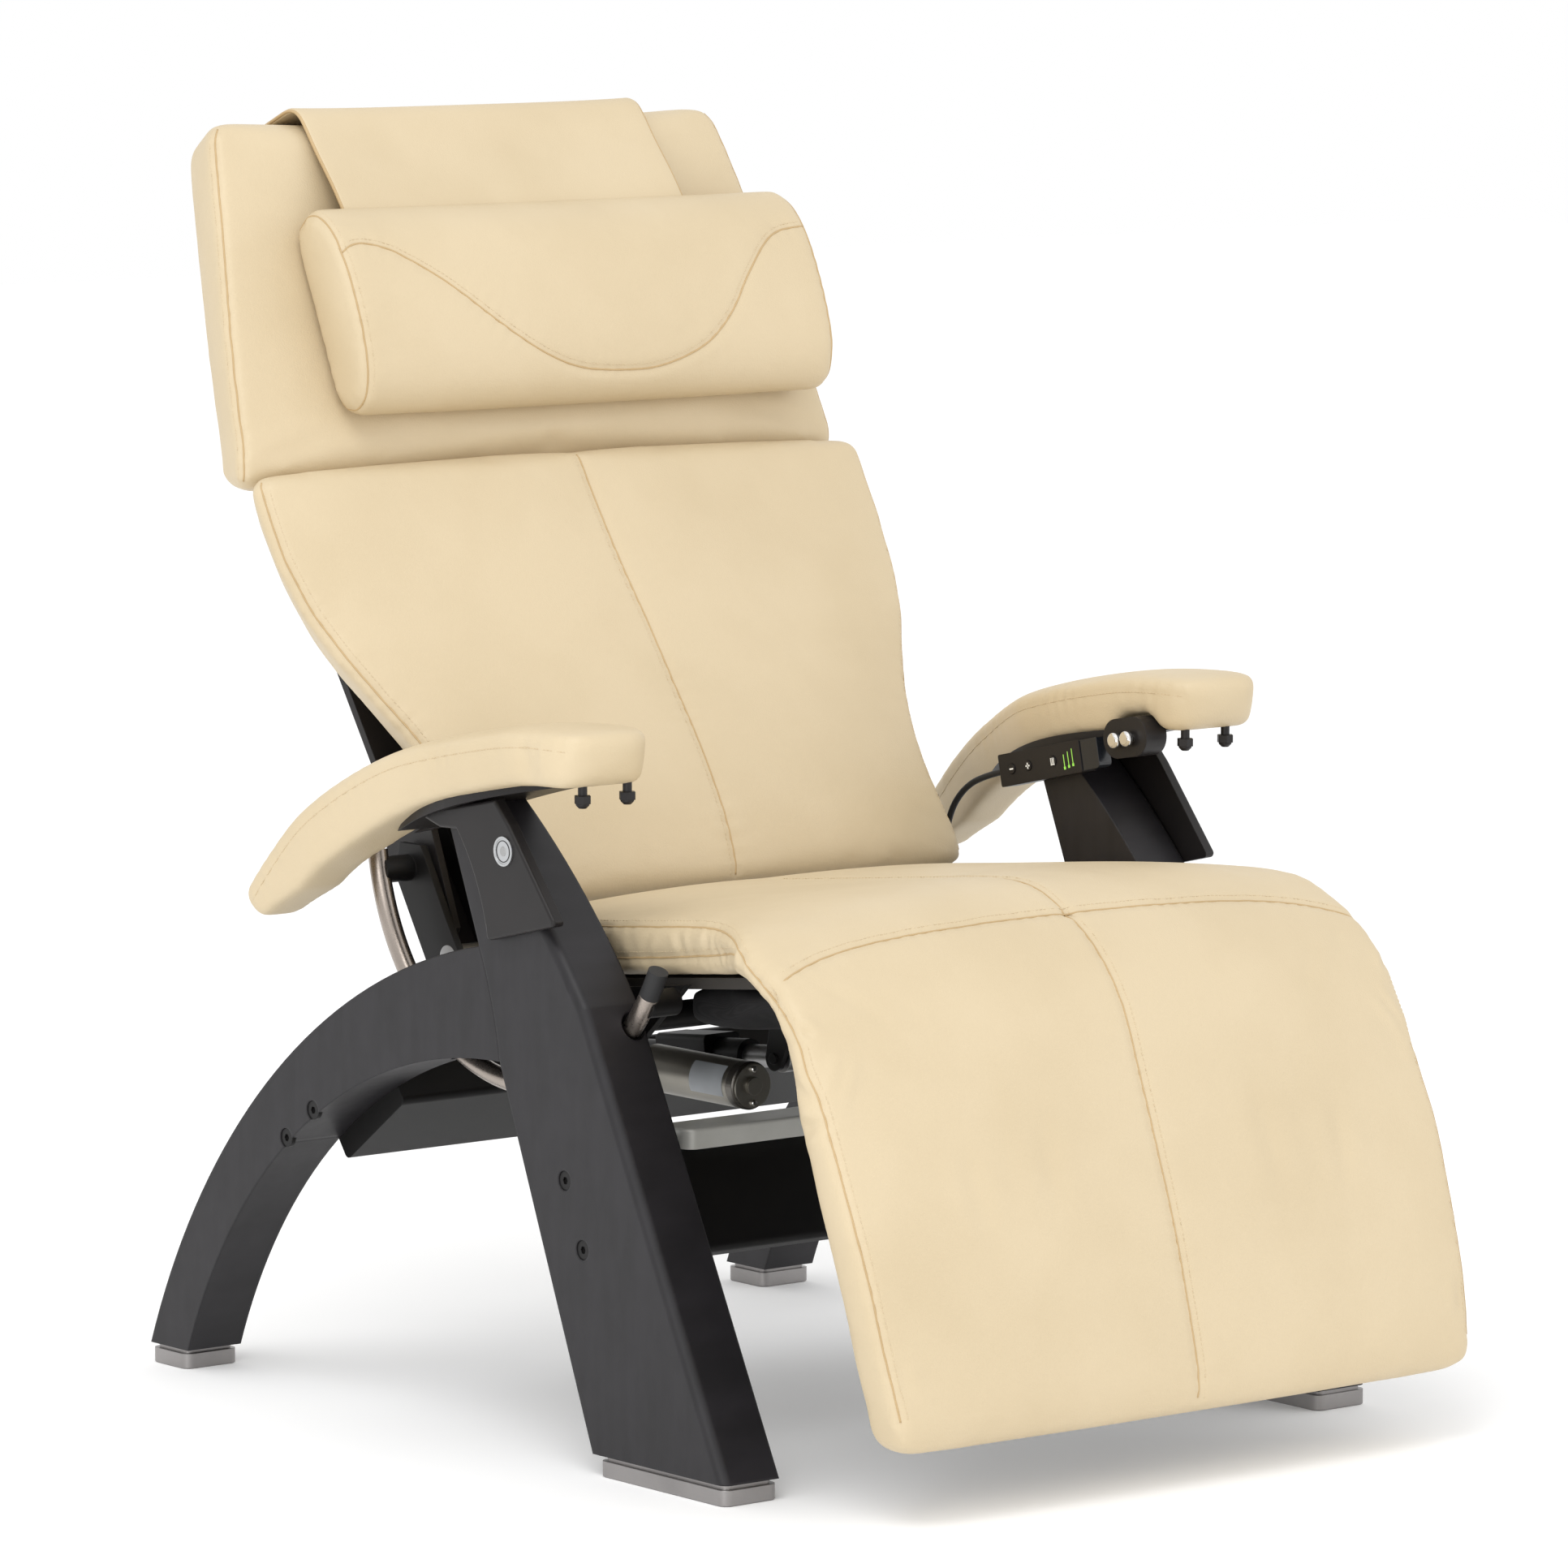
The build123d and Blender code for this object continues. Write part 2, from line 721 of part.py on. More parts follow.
def leg_panel():
    """Board behind the leg-rest pad."""
    with BuildPart() as panel:
        with BuildSketch(side(-300)):
            with BuildLine():
                ThreePointArc((-502.5, 82), (-462, 222), (-422.5, 324))
                Line((-422.5, 324), (-392, 384))
                Line((-392, 384), (-380, 378))
                Line((-380, 378), (-410, 318))
                ThreePointArc((-410, 318), (-449, 218), (-489, 80))
                Line((-489, 80), (-502.5, 82))
            make_face()
        extrude(amount=600)
    return panel.part


def leg_frame():
    """Welded frame behind the board: two rails with hinge eyes, a cross bar and a rod lug."""
    with BuildPart() as frame:
        for x in (-253, 235):
            with BuildSketch(side(x)):
                with BuildLine():
                    Polyline((-408.5, 317), (-380, 376), (-363, 430), (-341, 430), (-362, 366),
                             (-389, 309), (-408.5, 317))
                make_face()
                with BuildLine():
                    ThreePointArc((-408.5, 317), (-447.5, 217), (-478, 116))
                    Line((-478, 116), (-461, 112))
                    ThreePointArc((-461, 112), (-430, 212), (-389, 309))
                    Line((-389, 309), (-408.5, 317))
                make_face()
                with Locations((KNEE_Y, KNEE_Z)):
                    Circle(11)
                with Locations((KNEE_Y, KNEE_Z)):
                    Circle(KNEE_PIN_R + RUNNING, mode=Mode.SUBTRACT)
            extrude(amount=18)
        with BuildSketch(side(-236)):
            with Locations(Location((-398, 315, 0), (0, 0, 66))):
                Rectangle(18, 14)
        extrude(amount=472)
        for x in (LEG_X - 14, LEG_X + 14):
            add(lug(x, 5, LEG_FRONT, 11, (-393, 318), 9))
        with BuildSketch(side(LEG_X - 17)):
            with Locations(LEG_FRONT):
                Circle(PIVOT_PIN_R)
        extrude(amount=34)
        add(leg_panel(), mode=Mode.SUBTRACT)
    return frame.part


def back_width():
    """Outline of the back from the front: an hourglass above the hips."""
    half = [(262, 380), (262, 520), (285, 600), (310, 650), (338, 700), (350, 760), (352, 840)]
    with BuildSketch(Plane.XZ.offset(-450)) as outline:
        with BuildLine():
            Line((262, 380), (262, 520))
            Spline(*half[1:])
            Line(half[-1], (-352, 840))
            Spline(*[(-x, z) for x, z in reversed(half[1:])])
            Polyline((-262, 520), (-262, 380), (262, 380))
        make_face()
    return outline.sketch


WING_IN, WING_OUT = 268, 275


def back_wing():
    """Black plate beside the lower back, rounded at the top."""
    with BuildPart() as wing:
        with BuildSketch(side(WING_IN)):
            with BuildLine():
                Polyline(back_point(120, 40), back_point(100, 52), back_point(12, 70),
                         back_point(0, 92), back_point(12, 124), back_point(92, 122))
                ThreePointArc(back_point(92, 122), back_point(147, 84), back_point(120, 40))
            make_face()
        extrude(amount=WING_OUT - WING_IN)
    return wing.part


BLADDER_UP, BLADDER_LONG, BLADDER_THICK = 120, 130, 20
MASSAGE_UPS = [60, 330]


def back_cushion():
    """Back pad, with pockets in its rear for the lumbar bladder and the massage motors."""
    with BuildPart() as cushion:
        with BuildSketch(side(-355)):
            with BuildLine():
                ThreePointArc(back_point(8, 0), (177, 652), (304, 828))
                Polyline((304, 828), back_point(440, BACK_THICK), back_point(8, BACK_THICK),
                         back_point(8, 0))
            make_face()
        extrude(amount=710)
        extrude(back_width(), amount=450, mode=Mode.INTERSECT)
        add(lumbar_bladder(), mode=Mode.SUBTRACT)
        add(massage_motors(), mode=Mode.SUBTRACT)
        for x in (-WING_OUT - 80, WING_IN - 0.5):
            with BuildSketch(side(x)):
                with BuildLine():
                    Polyline(back_point(190, 24), back_point(0, 42), back_point(0, 130),
                             back_point(190, 130), back_point(190, 24))
                make_face()
            extrude(amount=87.5, mode=Mode.SUBTRACT)
    return cushion.part


def lumbar_bladder():
    """Air bladder sealed in the rear of the back pad."""
    corners = [back_point(BLADDER_UP, BACK_THICK), back_point(BLADDER_UP + BLADDER_LONG, BACK_THICK),
               back_point(BLADDER_UP + BLADDER_LONG, BACK_THICK - BLADDER_THICK),
               back_point(BLADDER_UP, BACK_THICK - BLADDER_THICK)]
    with BuildPart() as bladder:
        with BuildSketch(side(-140)):
            with BuildLine():
                Polyline(*corners, close=True)
            make_face()
        extrude(amount=280)
    return bladder.part


def massage_motors():
    """Four small vibration motors in the rear of the back pad."""
    lean = radians(BACK_LEAN)
    with BuildPart() as motors:
        for up in MASSAGE_UPS:
            y, z = back_point(up, BACK_THICK)
            with BuildSketch(Plane((0, y, z), x_dir=(1, 0, 0), z_dir=(0, -cos(lean), sin(lean)))):
                with Locations((-110, 0), (110, 0)):
                    Circle(22)
            extrude(amount=24)
    return motors.part


def back_frame():
    """Welded frame: two bent uprights with hinge knuckles and three cross bars."""
    with BuildPart() as frame:
        for x in (-228, 202):
            with BuildSketch(side(x)):
                with BuildLine():
                    Polyline(back_point(4, 89), back_point(430, 89), head_point(20, 77),
                             head_point(250, 77), head_point(250, 89), head_point(10, 89),
                             back_point(420, 107), back_point(4, 107), close=True)
                make_face()
                with BuildLine():
                    Polyline(back_point(6, 107), back_point(6, 89), back_point(-6, 72),
                             back_point(-22, 80), back_point(-14, 100), close=True)
                make_face()
                with Locations((BACK_Y, BACK_Z)):
                    Circle(18)
                with Locations((BACK_Y, BACK_Z)):
                    Circle(SHAFT_R + RUNNING, mode=Mode.SUBTRACT)
            extrude(amount=26)
        for corner in (back_point(30, 98), back_point(300, 98), head_point(200, 83)):
            with BuildSketch(side(-203)):
                with Locations(corner):
                    Circle(6)
            extrude(amount=406)
    return frame.part


def back_shell():
    """Moulded shell behind the back, with the wings' roots at its sides."""
    with BuildPart() as shell:
        with BuildSketch(side(-262)):
            with BuildLine():
                Polyline(back_point(10, 108), back_point(425, 108), back_point(425, 116),
                         back_point(10, 116), close=True)
            make_face()
        extrude(amount=524)
        fillet(shell.edges().group_by(Axis.Z)[0], 3)
    return shell.part


def head_width():
    """Outline of the head cushion from the front, with rounded top corners."""
    with BuildSketch(Plane.XZ.offset(-600)) as outline:
        with BuildLine():
            Spline((348, 815), (336, 900), (311, 1050), (296, 1112))
            ThreePointArc((296, 1112), (288, 1132), (268, 1140))
            Line((268, 1140), (-268, 1140))
            ThreePointArc((-268, 1140), (-288, 1132), (-296, 1112))
            Spline((-296, 1112), (-311, 1050), (-336, 900), (-348, 815))
            Line((-348, 815), (348, 815))
        make_face()
    return outline.sketch


def head_cushion():
    """Pad behind the head."""
    with BuildPart() as cushion:
        with BuildSketch(side(-350)):
            with BuildLine():
                Polyline(head_point(0, 0), head_point(HEAD_LONG, 0), head_point(HEAD_LONG, HEAD_THICK),
                         head_point(6, HEAD_THICK), close=True)
            make_face()
        extrude(amount=700)
        fillet(cushion.edges().filter_by(Axis.X).group_by(Axis.Z)[-1], 12)
        extrude(head_width(), amount=400, mode=Mode.INTERSECT)
    return cushion.part


HEAD_PANEL_DEPTH = 90
HEAD_PANEL_THICK = 10


HEAD_PANEL_HALF, HEAD_PANEL_TOP = 248, 326


def head_panel():
    """Trim board behind the head frame, with rounded top corners."""
    rear = HEAD_PANEL_DEPTH + HEAD_PANEL_THICK
    corners = [head_point(12, HEAD_PANEL_DEPTH), head_point(HEAD_PANEL_TOP, HEAD_PANEL_DEPTH),
               head_point(HEAD_PANEL_TOP, rear), head_point(12, rear)]
    with BuildPart() as panel:
        with BuildSketch(side(-HEAD_PANEL_HALF)):
            with BuildLine():
                Polyline(*corners, close=True)
            make_face()
        extrude(amount=2 * HEAD_PANEL_HALF)
        short = panel.edges().filter_by(lambda edge: edge.length < HEAD_PANEL_THICK + 1)
        top = short.sort_by(Axis.Z)[-4:]
        fillet(top.sort_by(Axis.X)[:1] + top.sort_by(Axis.X)[-1:], 22)
    return panel.part


STRAP_HALF = 195
STRAP_THICK = 5
PILLOW_GAP = 0.6
PILLOW_LOW, PILLOW_HIGH, PILLOW_DEEP = 30, 228, 72
PILLOW_RIGHT, PILLOW_LEFT = -240, 310
FLAP_FOOT, FLAP_TOP = (218, -31), (273, -13)


def strap_top():
    """Middle of the pillow strap, lying over the tops of the head cushion and its panel."""
    gap = 0.4
    front = -gap
    rear = HEAD_PANEL_DEPTH + HEAD_PANEL_THICK + gap
    low, high = HEAD_LONG - 24, HEAD_LONG + gap
    with BuildPart() as strap:
        with BuildSketch(side(-STRAP_HALF)):
            with BuildLine():
                Polyline(head_point(low, front - STRAP_THICK), head_point(high + STRAP_THICK, front - STRAP_THICK),
                         head_point(high + STRAP_THICK, rear + STRAP_THICK), head_point(low, rear + STRAP_THICK),
                         head_point(low, rear), head_point(high, rear),
                         head_point(high, front), head_point(low, front), close=True)
            make_face()
        extrude(amount=2 * STRAP_HALF)
    return strap.part


def strap_front():
    """Front flap of the strap, slanting down from the head cushion's top to the pillow."""
    corners = [head_point(*FLAP_FOOT), head_point(*FLAP_TOP),
               head_point(FLAP_TOP[0] + 1, FLAP_TOP[1] - STRAP_THICK),
               head_point(FLAP_FOOT[0] + 1, FLAP_FOOT[1] - STRAP_THICK)]
    with BuildPart() as strap:
        with BuildSketch(side(-STRAP_HALF)):
            with BuildLine():
                Polyline(*corners, close=True)
            make_face()
        extrude(amount=2 * STRAP_HALF)
    return strap.part


def head_pillow():
    """Round-fronted neck pillow on the head cushion; it sits a little to the sitter's left."""
    gap = -PILLOW_GAP
    low, high, deep = PILLOW_LOW, PILLOW_HIGH, PILLOW_DEEP
    with BuildPart() as pillow:
        with BuildSketch(side(PILLOW_RIGHT)):
            with BuildLine():
                Line(head_point(low + 18, gap), head_point(high - 18, gap))
                ThreePointArc(head_point(high - 18, gap), head_point(high - 4, -16), head_point(high, -34))
                ThreePointArc(head_point(high, -34), head_point(125, -deep), head_point(low, -34))
                ThreePointArc(head_point(low, -34), head_point(low + 4, -14), head_point(low + 18, gap))
            make_face()
        extrude(amount=PILLOW_LEFT - PILLOW_RIGHT)
        add(strap_front(), mode=Mode.SUBTRACT)
    return pillow.part


def counterweight():
    """Weighted pouch on the strap's rear flap, behind the head panel."""
    depth = HEAD_PANEL_DEPTH + HEAD_PANEL_THICK + 1
    with BuildPart() as pouch:
        with BuildSketch(side(-STRAP_HALF)):
            with BuildLine():
                Polyline(head_point(110, depth), head_point(260, depth),
                         head_point(260, depth + 5), head_point(205, depth + 22),
                         head_point(120, depth + 22), head_point(110, depth + 14), close=True)
            make_face()
        extrude(amount=2 * STRAP_HALF)
    return pouch.part


def spot_between(rear, front, share):
    """Side-view point on the line between two pivots."""
    return (rear[0] + (front[0] - rear[0]) * share, rear[1] + (front[1] - rear[1]) * share)


def actuator_line_plane(x, rear, front, distance):
    """Plane square to an actuator's line, at a distance from its rear pivot."""
    long = hypot(front[0] - rear[0], front[1] - rear[1])
    point = spot_between(rear, front, distance / long)
    return Plane((x, *point), x_dir=(1, 0, 0), z_dir=(0, front[0] - rear[0], front[1] - rear[1]))


def actuator_housing(x, rear, front, box, tube, bore_r):
    """Gear box with a rear eye, and a guide tube that the rod slides in."""
    box_from, box_to, box_half = box
    tube_to, tube_r = tube
    with BuildPart() as housing:
        add(lug(x, 22, rear, 11, spot_between(rear, front, 0.12), 11))
        with BuildSketch(actuator_line_plane(x, rear, front, 12)):
            Circle(11)
        extrude(amount=box_from - 12 + 2)
        with BuildSketch(actuator_line_plane(x, rear, front, box_from)):
            RectangleRounded(2 * box_half, 38, 5)
        extrude(amount=box_to - box_from)
        with BuildSketch(actuator_line_plane(x, rear, front, box_to)):
            Circle(tube_r)
        extrude(amount=tube_to - box_to)
        with BuildSketch(actuator_line_plane(x, rear, front, box_from + 8)):
            Circle(bore_r)
        extrude(amount=tube_to - box_from, mode=Mode.SUBTRACT)
        with BuildSketch(side(x - 12)):
            with Locations(rear):
                Circle(PIVOT_PIN_R + RUNNING)
        extrude(amount=24, mode=Mode.SUBTRACT)
    return housing.part


def actuator_rod(x, rear, front, start, rod_r, eye_bore_r):
    """Rod with a wide eye at its front, so the linkage is open at that pin."""
    long = hypot(front[0] - rear[0], front[1] - rear[1])
    with BuildPart() as rod:
        with BuildSketch(actuator_line_plane(x, rear, front, start)):
            Circle(rod_r)
        extrude(amount=long - start)
        with BuildSketch(side(x - 8)):
            with Locations(front):
                Circle(13)
        extrude(amount=16)
        with BuildSketch(side(x - 14)):
            with Locations(front):
                Circle(eye_bore_r)
        extrude(amount=28, mode=Mode.SUBTRACT)
    return rod.part


def recline_motor():
    """Motor beside the recline actuator, with a boss on its front cap."""
    z = 313
    with BuildPart() as motor:
        with BuildSketch(Plane((MOTOR_X, -22, z), x_dir=(1, 0, 0), z_dir=(0, -1, 0))):
            Circle(MOTOR_R)
        extrude(amount=134)
        with BuildSketch(Plane((MOTOR_X, -156, z), x_dir=(1, 0, 0), z_dir=(0, -1, 0))):
            Circle(MOTOR_R - 1.5)
        extrude(amount=4)
        with BuildSketch(Plane((MOTOR_X, -160, z), x_dir=(1, 0, 0), z_dir=(0, -1, 0))):
            Circle(8)
        extrude(amount=3)
    return motor.part


# Base
save_sides(front_leg(), "front_leg")
save_sides(rear_leg(), "rear_leg")
save_pair(foot_pad(-375, -201), "front_feet")
save_pair(foot_pad(418, 474), "rear_feet")
save_pair(leg_bolts(), "leg_bolts")
save(cross_beam(*FRONT_BEAM), "front_cross_beam")
save(beam_trim(), "cross_beam_trim")
save(cross_beam(*REAR_BEAM), "rear_cross_beam")
save_pair(tower_cover(), "tower_covers")
save_pair(tower_badge(), "tower_badges")
save(arm_pans(), "arm_pans")
save(arm_pad(True), "left_arm_pad")
save(arm_pad(False).mirror(Plane.YZ), "right_arm_pad")
save_pair(arm_knobs(), "arm_knobs")
save(switch_housing(), "switch_housing")
save(control_box(), "control_box")
save(control_box_cap(), "control_box_cap")
save(control_cable(), "control_cable")
save_pair(tube_bushes(), "tube_bushes")
save(actuator_bracket(), "actuator_bracket")
save(power_supply(), "power_supply")

# Buttons and keys
for name, spot in BUTTONS.items():
    save(button(spot), name)
for name, along in KEYS.items():
    save(key(along), name)

# Seat
save_sides(ring_arc(TUBE_REAR_DEG, TUBE_FRONT_DEG, TUBE_R, TUBE_BORE_R), "swing_tube")
save_pair(ring_arc(TUBE_FRONT_DEG, PLUG_END_DEG, TUBE_R), "tube_plugs")
save_pair(side_plate(), "side_plates")
save(bar(SEAT_TUBE, SHAFT_R, 280), "seat_cross_tube")
save(bar((BACK_Y, BACK_Z), SHAFT_R, 287), "back_hinge_shaft")
save(seat_lugs(), "seat_lugs")
save(seat_pan(), "seat_pan")
save(seat_cushion(), "seat_cushion")
save(under_seat_cover(), "under_seat_cover")
save(air_pump(), "air_pump")
save_pair(knee_pins(), "knee_pins")

# Leg rest
save(leg_frame(), "leg_rest_frame")
save(leg_panel(), "leg_rest_panel")
save(leg_cushion(), "leg_rest_cushion")

# Back and head
save(back_frame(), "back_frame")
save(back_cushion(), "back_cushion")
save(lumbar_bladder(), "lumbar_bladder")
save(massage_motors(), "massage_motors")
save_pair(back_wing(), "back_wings")
save(back_shell(), "back_shell")
save(head_cushion(), "head_cushion")
save(head_panel(), "head_panel")
save(strap_top(), "strap_top")
save(strap_front(), "strap_front")
save(head_pillow(), "head_pillow")
save(counterweight(), "counterweight")

# Actuators
save(actuator_housing(RECLINE_X, RECLINE_REAR, RECLINE_FRONT, (120, 190, 20), (230, 15), 10.3),
     "recline_gearbox")
save(recline_motor(), "recline_motor")
save(actuator_rod(RECLINE_X, RECLINE_REAR, RECLINE_FRONT, 132, 10, 8), "recline_rod")
save(actuator_housing(LEG_X, LEG_REAR, LEG_FRONT, (40, 110, 20), (235, 13), 9.3), "leg_actuator")
save(actuator_rod(LEG_X, LEG_REAR, LEG_FRONT, 52, 9, 8.5), "leg_rod")
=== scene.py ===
"""Looks of the massage recliner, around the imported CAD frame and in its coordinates, in metres."""
import math

import bmesh
import bpy
import numpy as np
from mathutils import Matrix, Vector
from mathutils.bvhtree import BVHTree
from mathutils.kdtree import KDTree


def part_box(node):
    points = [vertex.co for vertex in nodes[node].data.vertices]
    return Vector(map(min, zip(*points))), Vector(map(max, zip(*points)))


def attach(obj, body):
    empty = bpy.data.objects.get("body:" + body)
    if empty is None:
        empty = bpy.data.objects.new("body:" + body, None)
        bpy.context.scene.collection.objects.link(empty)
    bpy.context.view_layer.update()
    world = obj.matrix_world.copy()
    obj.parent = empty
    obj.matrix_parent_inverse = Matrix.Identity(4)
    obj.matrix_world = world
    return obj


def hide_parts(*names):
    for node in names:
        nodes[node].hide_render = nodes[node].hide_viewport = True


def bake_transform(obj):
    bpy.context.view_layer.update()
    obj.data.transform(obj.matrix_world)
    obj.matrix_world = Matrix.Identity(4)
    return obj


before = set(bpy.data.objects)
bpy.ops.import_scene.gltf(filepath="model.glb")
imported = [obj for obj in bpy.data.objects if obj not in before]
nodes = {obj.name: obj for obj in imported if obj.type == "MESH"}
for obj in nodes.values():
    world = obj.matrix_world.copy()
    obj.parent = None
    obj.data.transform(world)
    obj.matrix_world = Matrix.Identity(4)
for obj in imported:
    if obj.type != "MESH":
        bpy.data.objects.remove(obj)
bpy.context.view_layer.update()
scene = bpy.context.scene

# Camera
CAMERA_AT = (-4.72613, -5.89991, 1.46135)
CAMERA_LOOK = (0.62059, 0.77496, -0.11962)
camera = bpy.data.objects.new("camera", bpy.data.cameras.new("camera"))
camera.data.lens = 195.588
camera.data.sensor_width = 36
camera.data.clip_end = 60
camera.location = CAMERA_AT
camera.rotation_mode = "QUATERNION"
camera.rotation_quaternion = Vector(CAMERA_LOOK).to_track_quat("-Z", "Y")
scene.collection.objects.link(camera)
scene.camera = camera
scene.view_settings.view_transform = "Standard"

# Lead from the control box to the power supply
CABLE_DIAMETER = 0.006
CABLE_ROUTE = [
    (0.300, 0.0467, 0.536), (0.300, 0.0701, 0.5309), (0.299, 0.106, 0.517),
    (0.299, 0.131, 0.488), (0.299, 0.138, 0.440), (0.298, 0.128, 0.395), (0.297, 0.135, 0.356),
    (0.284, 0.160, 0.336), (0.262, 0.183, 0.3239), (0.262, 0.211, 0.3035),
]


# ---------------------------------------------------------------- materials
def material(name, base, rough, metallic=0.0):
    """New node material; returns it with its tree and shader."""
    made = bpy.data.materials.new(name)
    made.use_nodes = True
    tree = made.node_tree
    shader = tree.nodes["Principled BSDF"]
    shader.inputs["Base Color"].default_value = (*base, 1)
    shader.inputs["Roughness"].default_value = rough
    shader.inputs["Metallic"].default_value = metallic
    return made, tree, shader


def node(tree, kind, **values):
    """New shader node; each value goes to the input or the setting of that name."""
    made = tree.nodes.new(kind)
    for key, value in values.items():
        if key in made.inputs:
            made.inputs[key].default_value = value
        else:
            setattr(made, key, value)
    return made


def spots(tree, scale, detail=3.0, stretch=(1, 1, 1)):
    """Noise over the piece's own coordinates."""
    place = node(tree, "ShaderNodeTexCoord")
    mapping = node(tree, "ShaderNodeMapping")
    mapping.inputs["Scale"].default_value = stretch
    pattern = node(tree, "ShaderNodeTexNoise", Scale=scale, Detail=detail)
    tree.links.new(place.outputs["Object"], mapping.inputs["Vector"])
    tree.links.new(mapping.outputs["Vector"], pattern.inputs["Vector"])
    return pattern, mapping


def ramp(tree, source, shader, low, high, start=0.35, end=0.65):
    """Base colour of the shader, from one colour to another."""
    made = node(tree, "ShaderNodeValToRGB")
    made.color_ramp.elements[0].position = start
    made.color_ramp.elements[0].color = (*low, 1)
    made.color_ramp.elements[1].position = end
    made.color_ramp.elements[1].color = (*high, 1)
    tree.links.new(source, made.inputs["Fac"])
    tree.links.new(made.outputs["Color"], shader.inputs["Base Color"])


def spread(tree, source, shader, low, high):
    """Roughness of the shader, from low to high."""
    made = node(tree, "ShaderNodeMapRange")
    made.inputs["To Min"].default_value = low
    made.inputs["To Max"].default_value = high
    tree.links.new(source, made.inputs["Value"])
    tree.links.new(made.outputs["Result"], shader.inputs["Roughness"])


def bump(tree, shader, height, distance, strength=1.0, under=None):
    """Bump map from height, over the normal under it, wired to the shader."""
    made = node(tree, "ShaderNodeBump", Strength=strength, Distance=distance)
    tree.links.new(height, made.inputs["Height"])
    if under is not None:
        tree.links.new(under, made.inputs["Normal"])
    tree.links.new(made.outputs["Normal"], shader.inputs["Normal"])


def rounded(tree, radius):
    """Normal with soft edges, for machined or moulded parts."""
    return node(tree, "ShaderNodeBevel", Radius=radius, samples=4).outputs["Normal"]


def leather(name, low, high, rough):
    """Smooth upholstery leather: fine pebble grain, soft tonal clouds, slightly uneven gloss."""
    made, tree, shader = material(name, high, rough)
    clouds, mapping = spots(tree, 7, 4)
    ramp(tree, clouds.outputs["Fac"], shader, low, high, 0.3, 0.62)
    patches, _ = spots(tree, 26, 3)
    spread(tree, patches.outputs["Fac"], shader, rough - 0.07, rough + 0.09)
    cells = node(tree, "ShaderNodeTexVoronoi", Scale=640, feature="F1")
    tree.links.new(mapping.outputs["Vector"], cells.inputs["Vector"])
    pores, _ = spots(tree, 1500, 2)
    grain = node(tree, "ShaderNodeMath", operation="MULTIPLY_ADD")
    grain.inputs[1].default_value = 0.5
    tree.links.new(pores.outputs["Fac"], grain.inputs[0])
    tree.links.new(cells.outputs["Distance"], grain.inputs[2])
    waves, _ = spots(tree, 38, 2)
    broad = node(tree, "ShaderNodeBump", Strength=0.35, Distance=0.0016)
    tree.links.new(waves.outputs["Fac"], broad.inputs["Height"])
    bump(tree, shader, grain.outputs[0], 0.00022, 0.5, broad.outputs["Normal"])
    shader.inputs["Specular IOR Level"].default_value = 0.42
    return made


def lacquer(name, low, high, rough):
    """Satin lacquer over fine-grained wood."""
    made, tree, shader = material(name, high, rough)
    grain, _ = spots(tree, 9, 6, (1, 7, 1.6))
    ramp(tree, grain.outputs["Fac"], shader, low, high)
    haze, _ = spots(tree, 55, 3)
    spread(tree, haze.outputs["Fac"], shader, rough - 0.05, rough + 0.08)
    peel, _ = spots(tree, 900, 2)
    shader.inputs["Specular IOR Level"].default_value = 0.36
    bump(tree, shader, peel.outputs["Fac"], 0.00008, 0.5, rounded(tree, 0.0028))
    return made


def metal(name, base, rough, stretch=(1, 1, 1), scale=300, strength=0.25):
    """Brushed or drawn metal with fine lines."""
    made, tree, shader = material(name, base, rough, 1.0)
    lines, _ = spots(tree, scale, 4, stretch)
    spread(tree, lines.outputs["Fac"], shader, rough - 0.06, rough + 0.1)
    stain, _ = spots(tree, 14, 3)
    ramp(tree, stain.outputs["Fac"], shader, tuple(0.86 * c for c in base), base)
    bump(tree, shader, lines.outputs["Fac"], 0.00005, strength, rounded(tree, 0.0008))
    return made


def plastic(name, base, rough, texture=0.4):
    """Moulded plastic with a fine spark-eroded texture."""
    made, tree, shader = material(name, base, rough)
    grain, _ = spots(tree, 1700, 2)
    blush, _ = spots(tree, 18, 2)
    ramp(tree, blush.outputs["Fac"], shader, tuple(0.82 * c for c in base), base)
    spread(tree, grain.outputs["Fac"], shader, rough - 0.06, rough + 0.08)
    bump(tree, shader, grain.outputs["Fac"], 0.00006, texture, rounded(tree, 0.0012))
    return made


def cloth(name, base, rough):
    """Black woven lining cloth."""
    made, tree, shader = material(name, base, rough)
    place = node(tree, "ShaderNodeTexCoord")
    across = node(tree, "ShaderNodeTexWave", Scale=420, Distortion=0.4, bands_direction="X")
    along = node(tree, "ShaderNodeTexWave", Scale=420, Distortion=0.4, bands_direction="Y")
    for wave in (across, along):
        tree.links.new(place.outputs["Object"], wave.inputs["Vector"])
    weave = node(tree, "ShaderNodeMath", operation="MULTIPLY")
    tree.links.new(across.outputs["Fac"], weave.inputs[0])
    tree.links.new(along.outputs["Fac"], weave.inputs[1])
    ramp(tree, weave.outputs[0], shader, tuple(0.6 * c for c in base), base)
    bump(tree, shader, weave.outputs[0], 0.0003, 0.5)
    return made


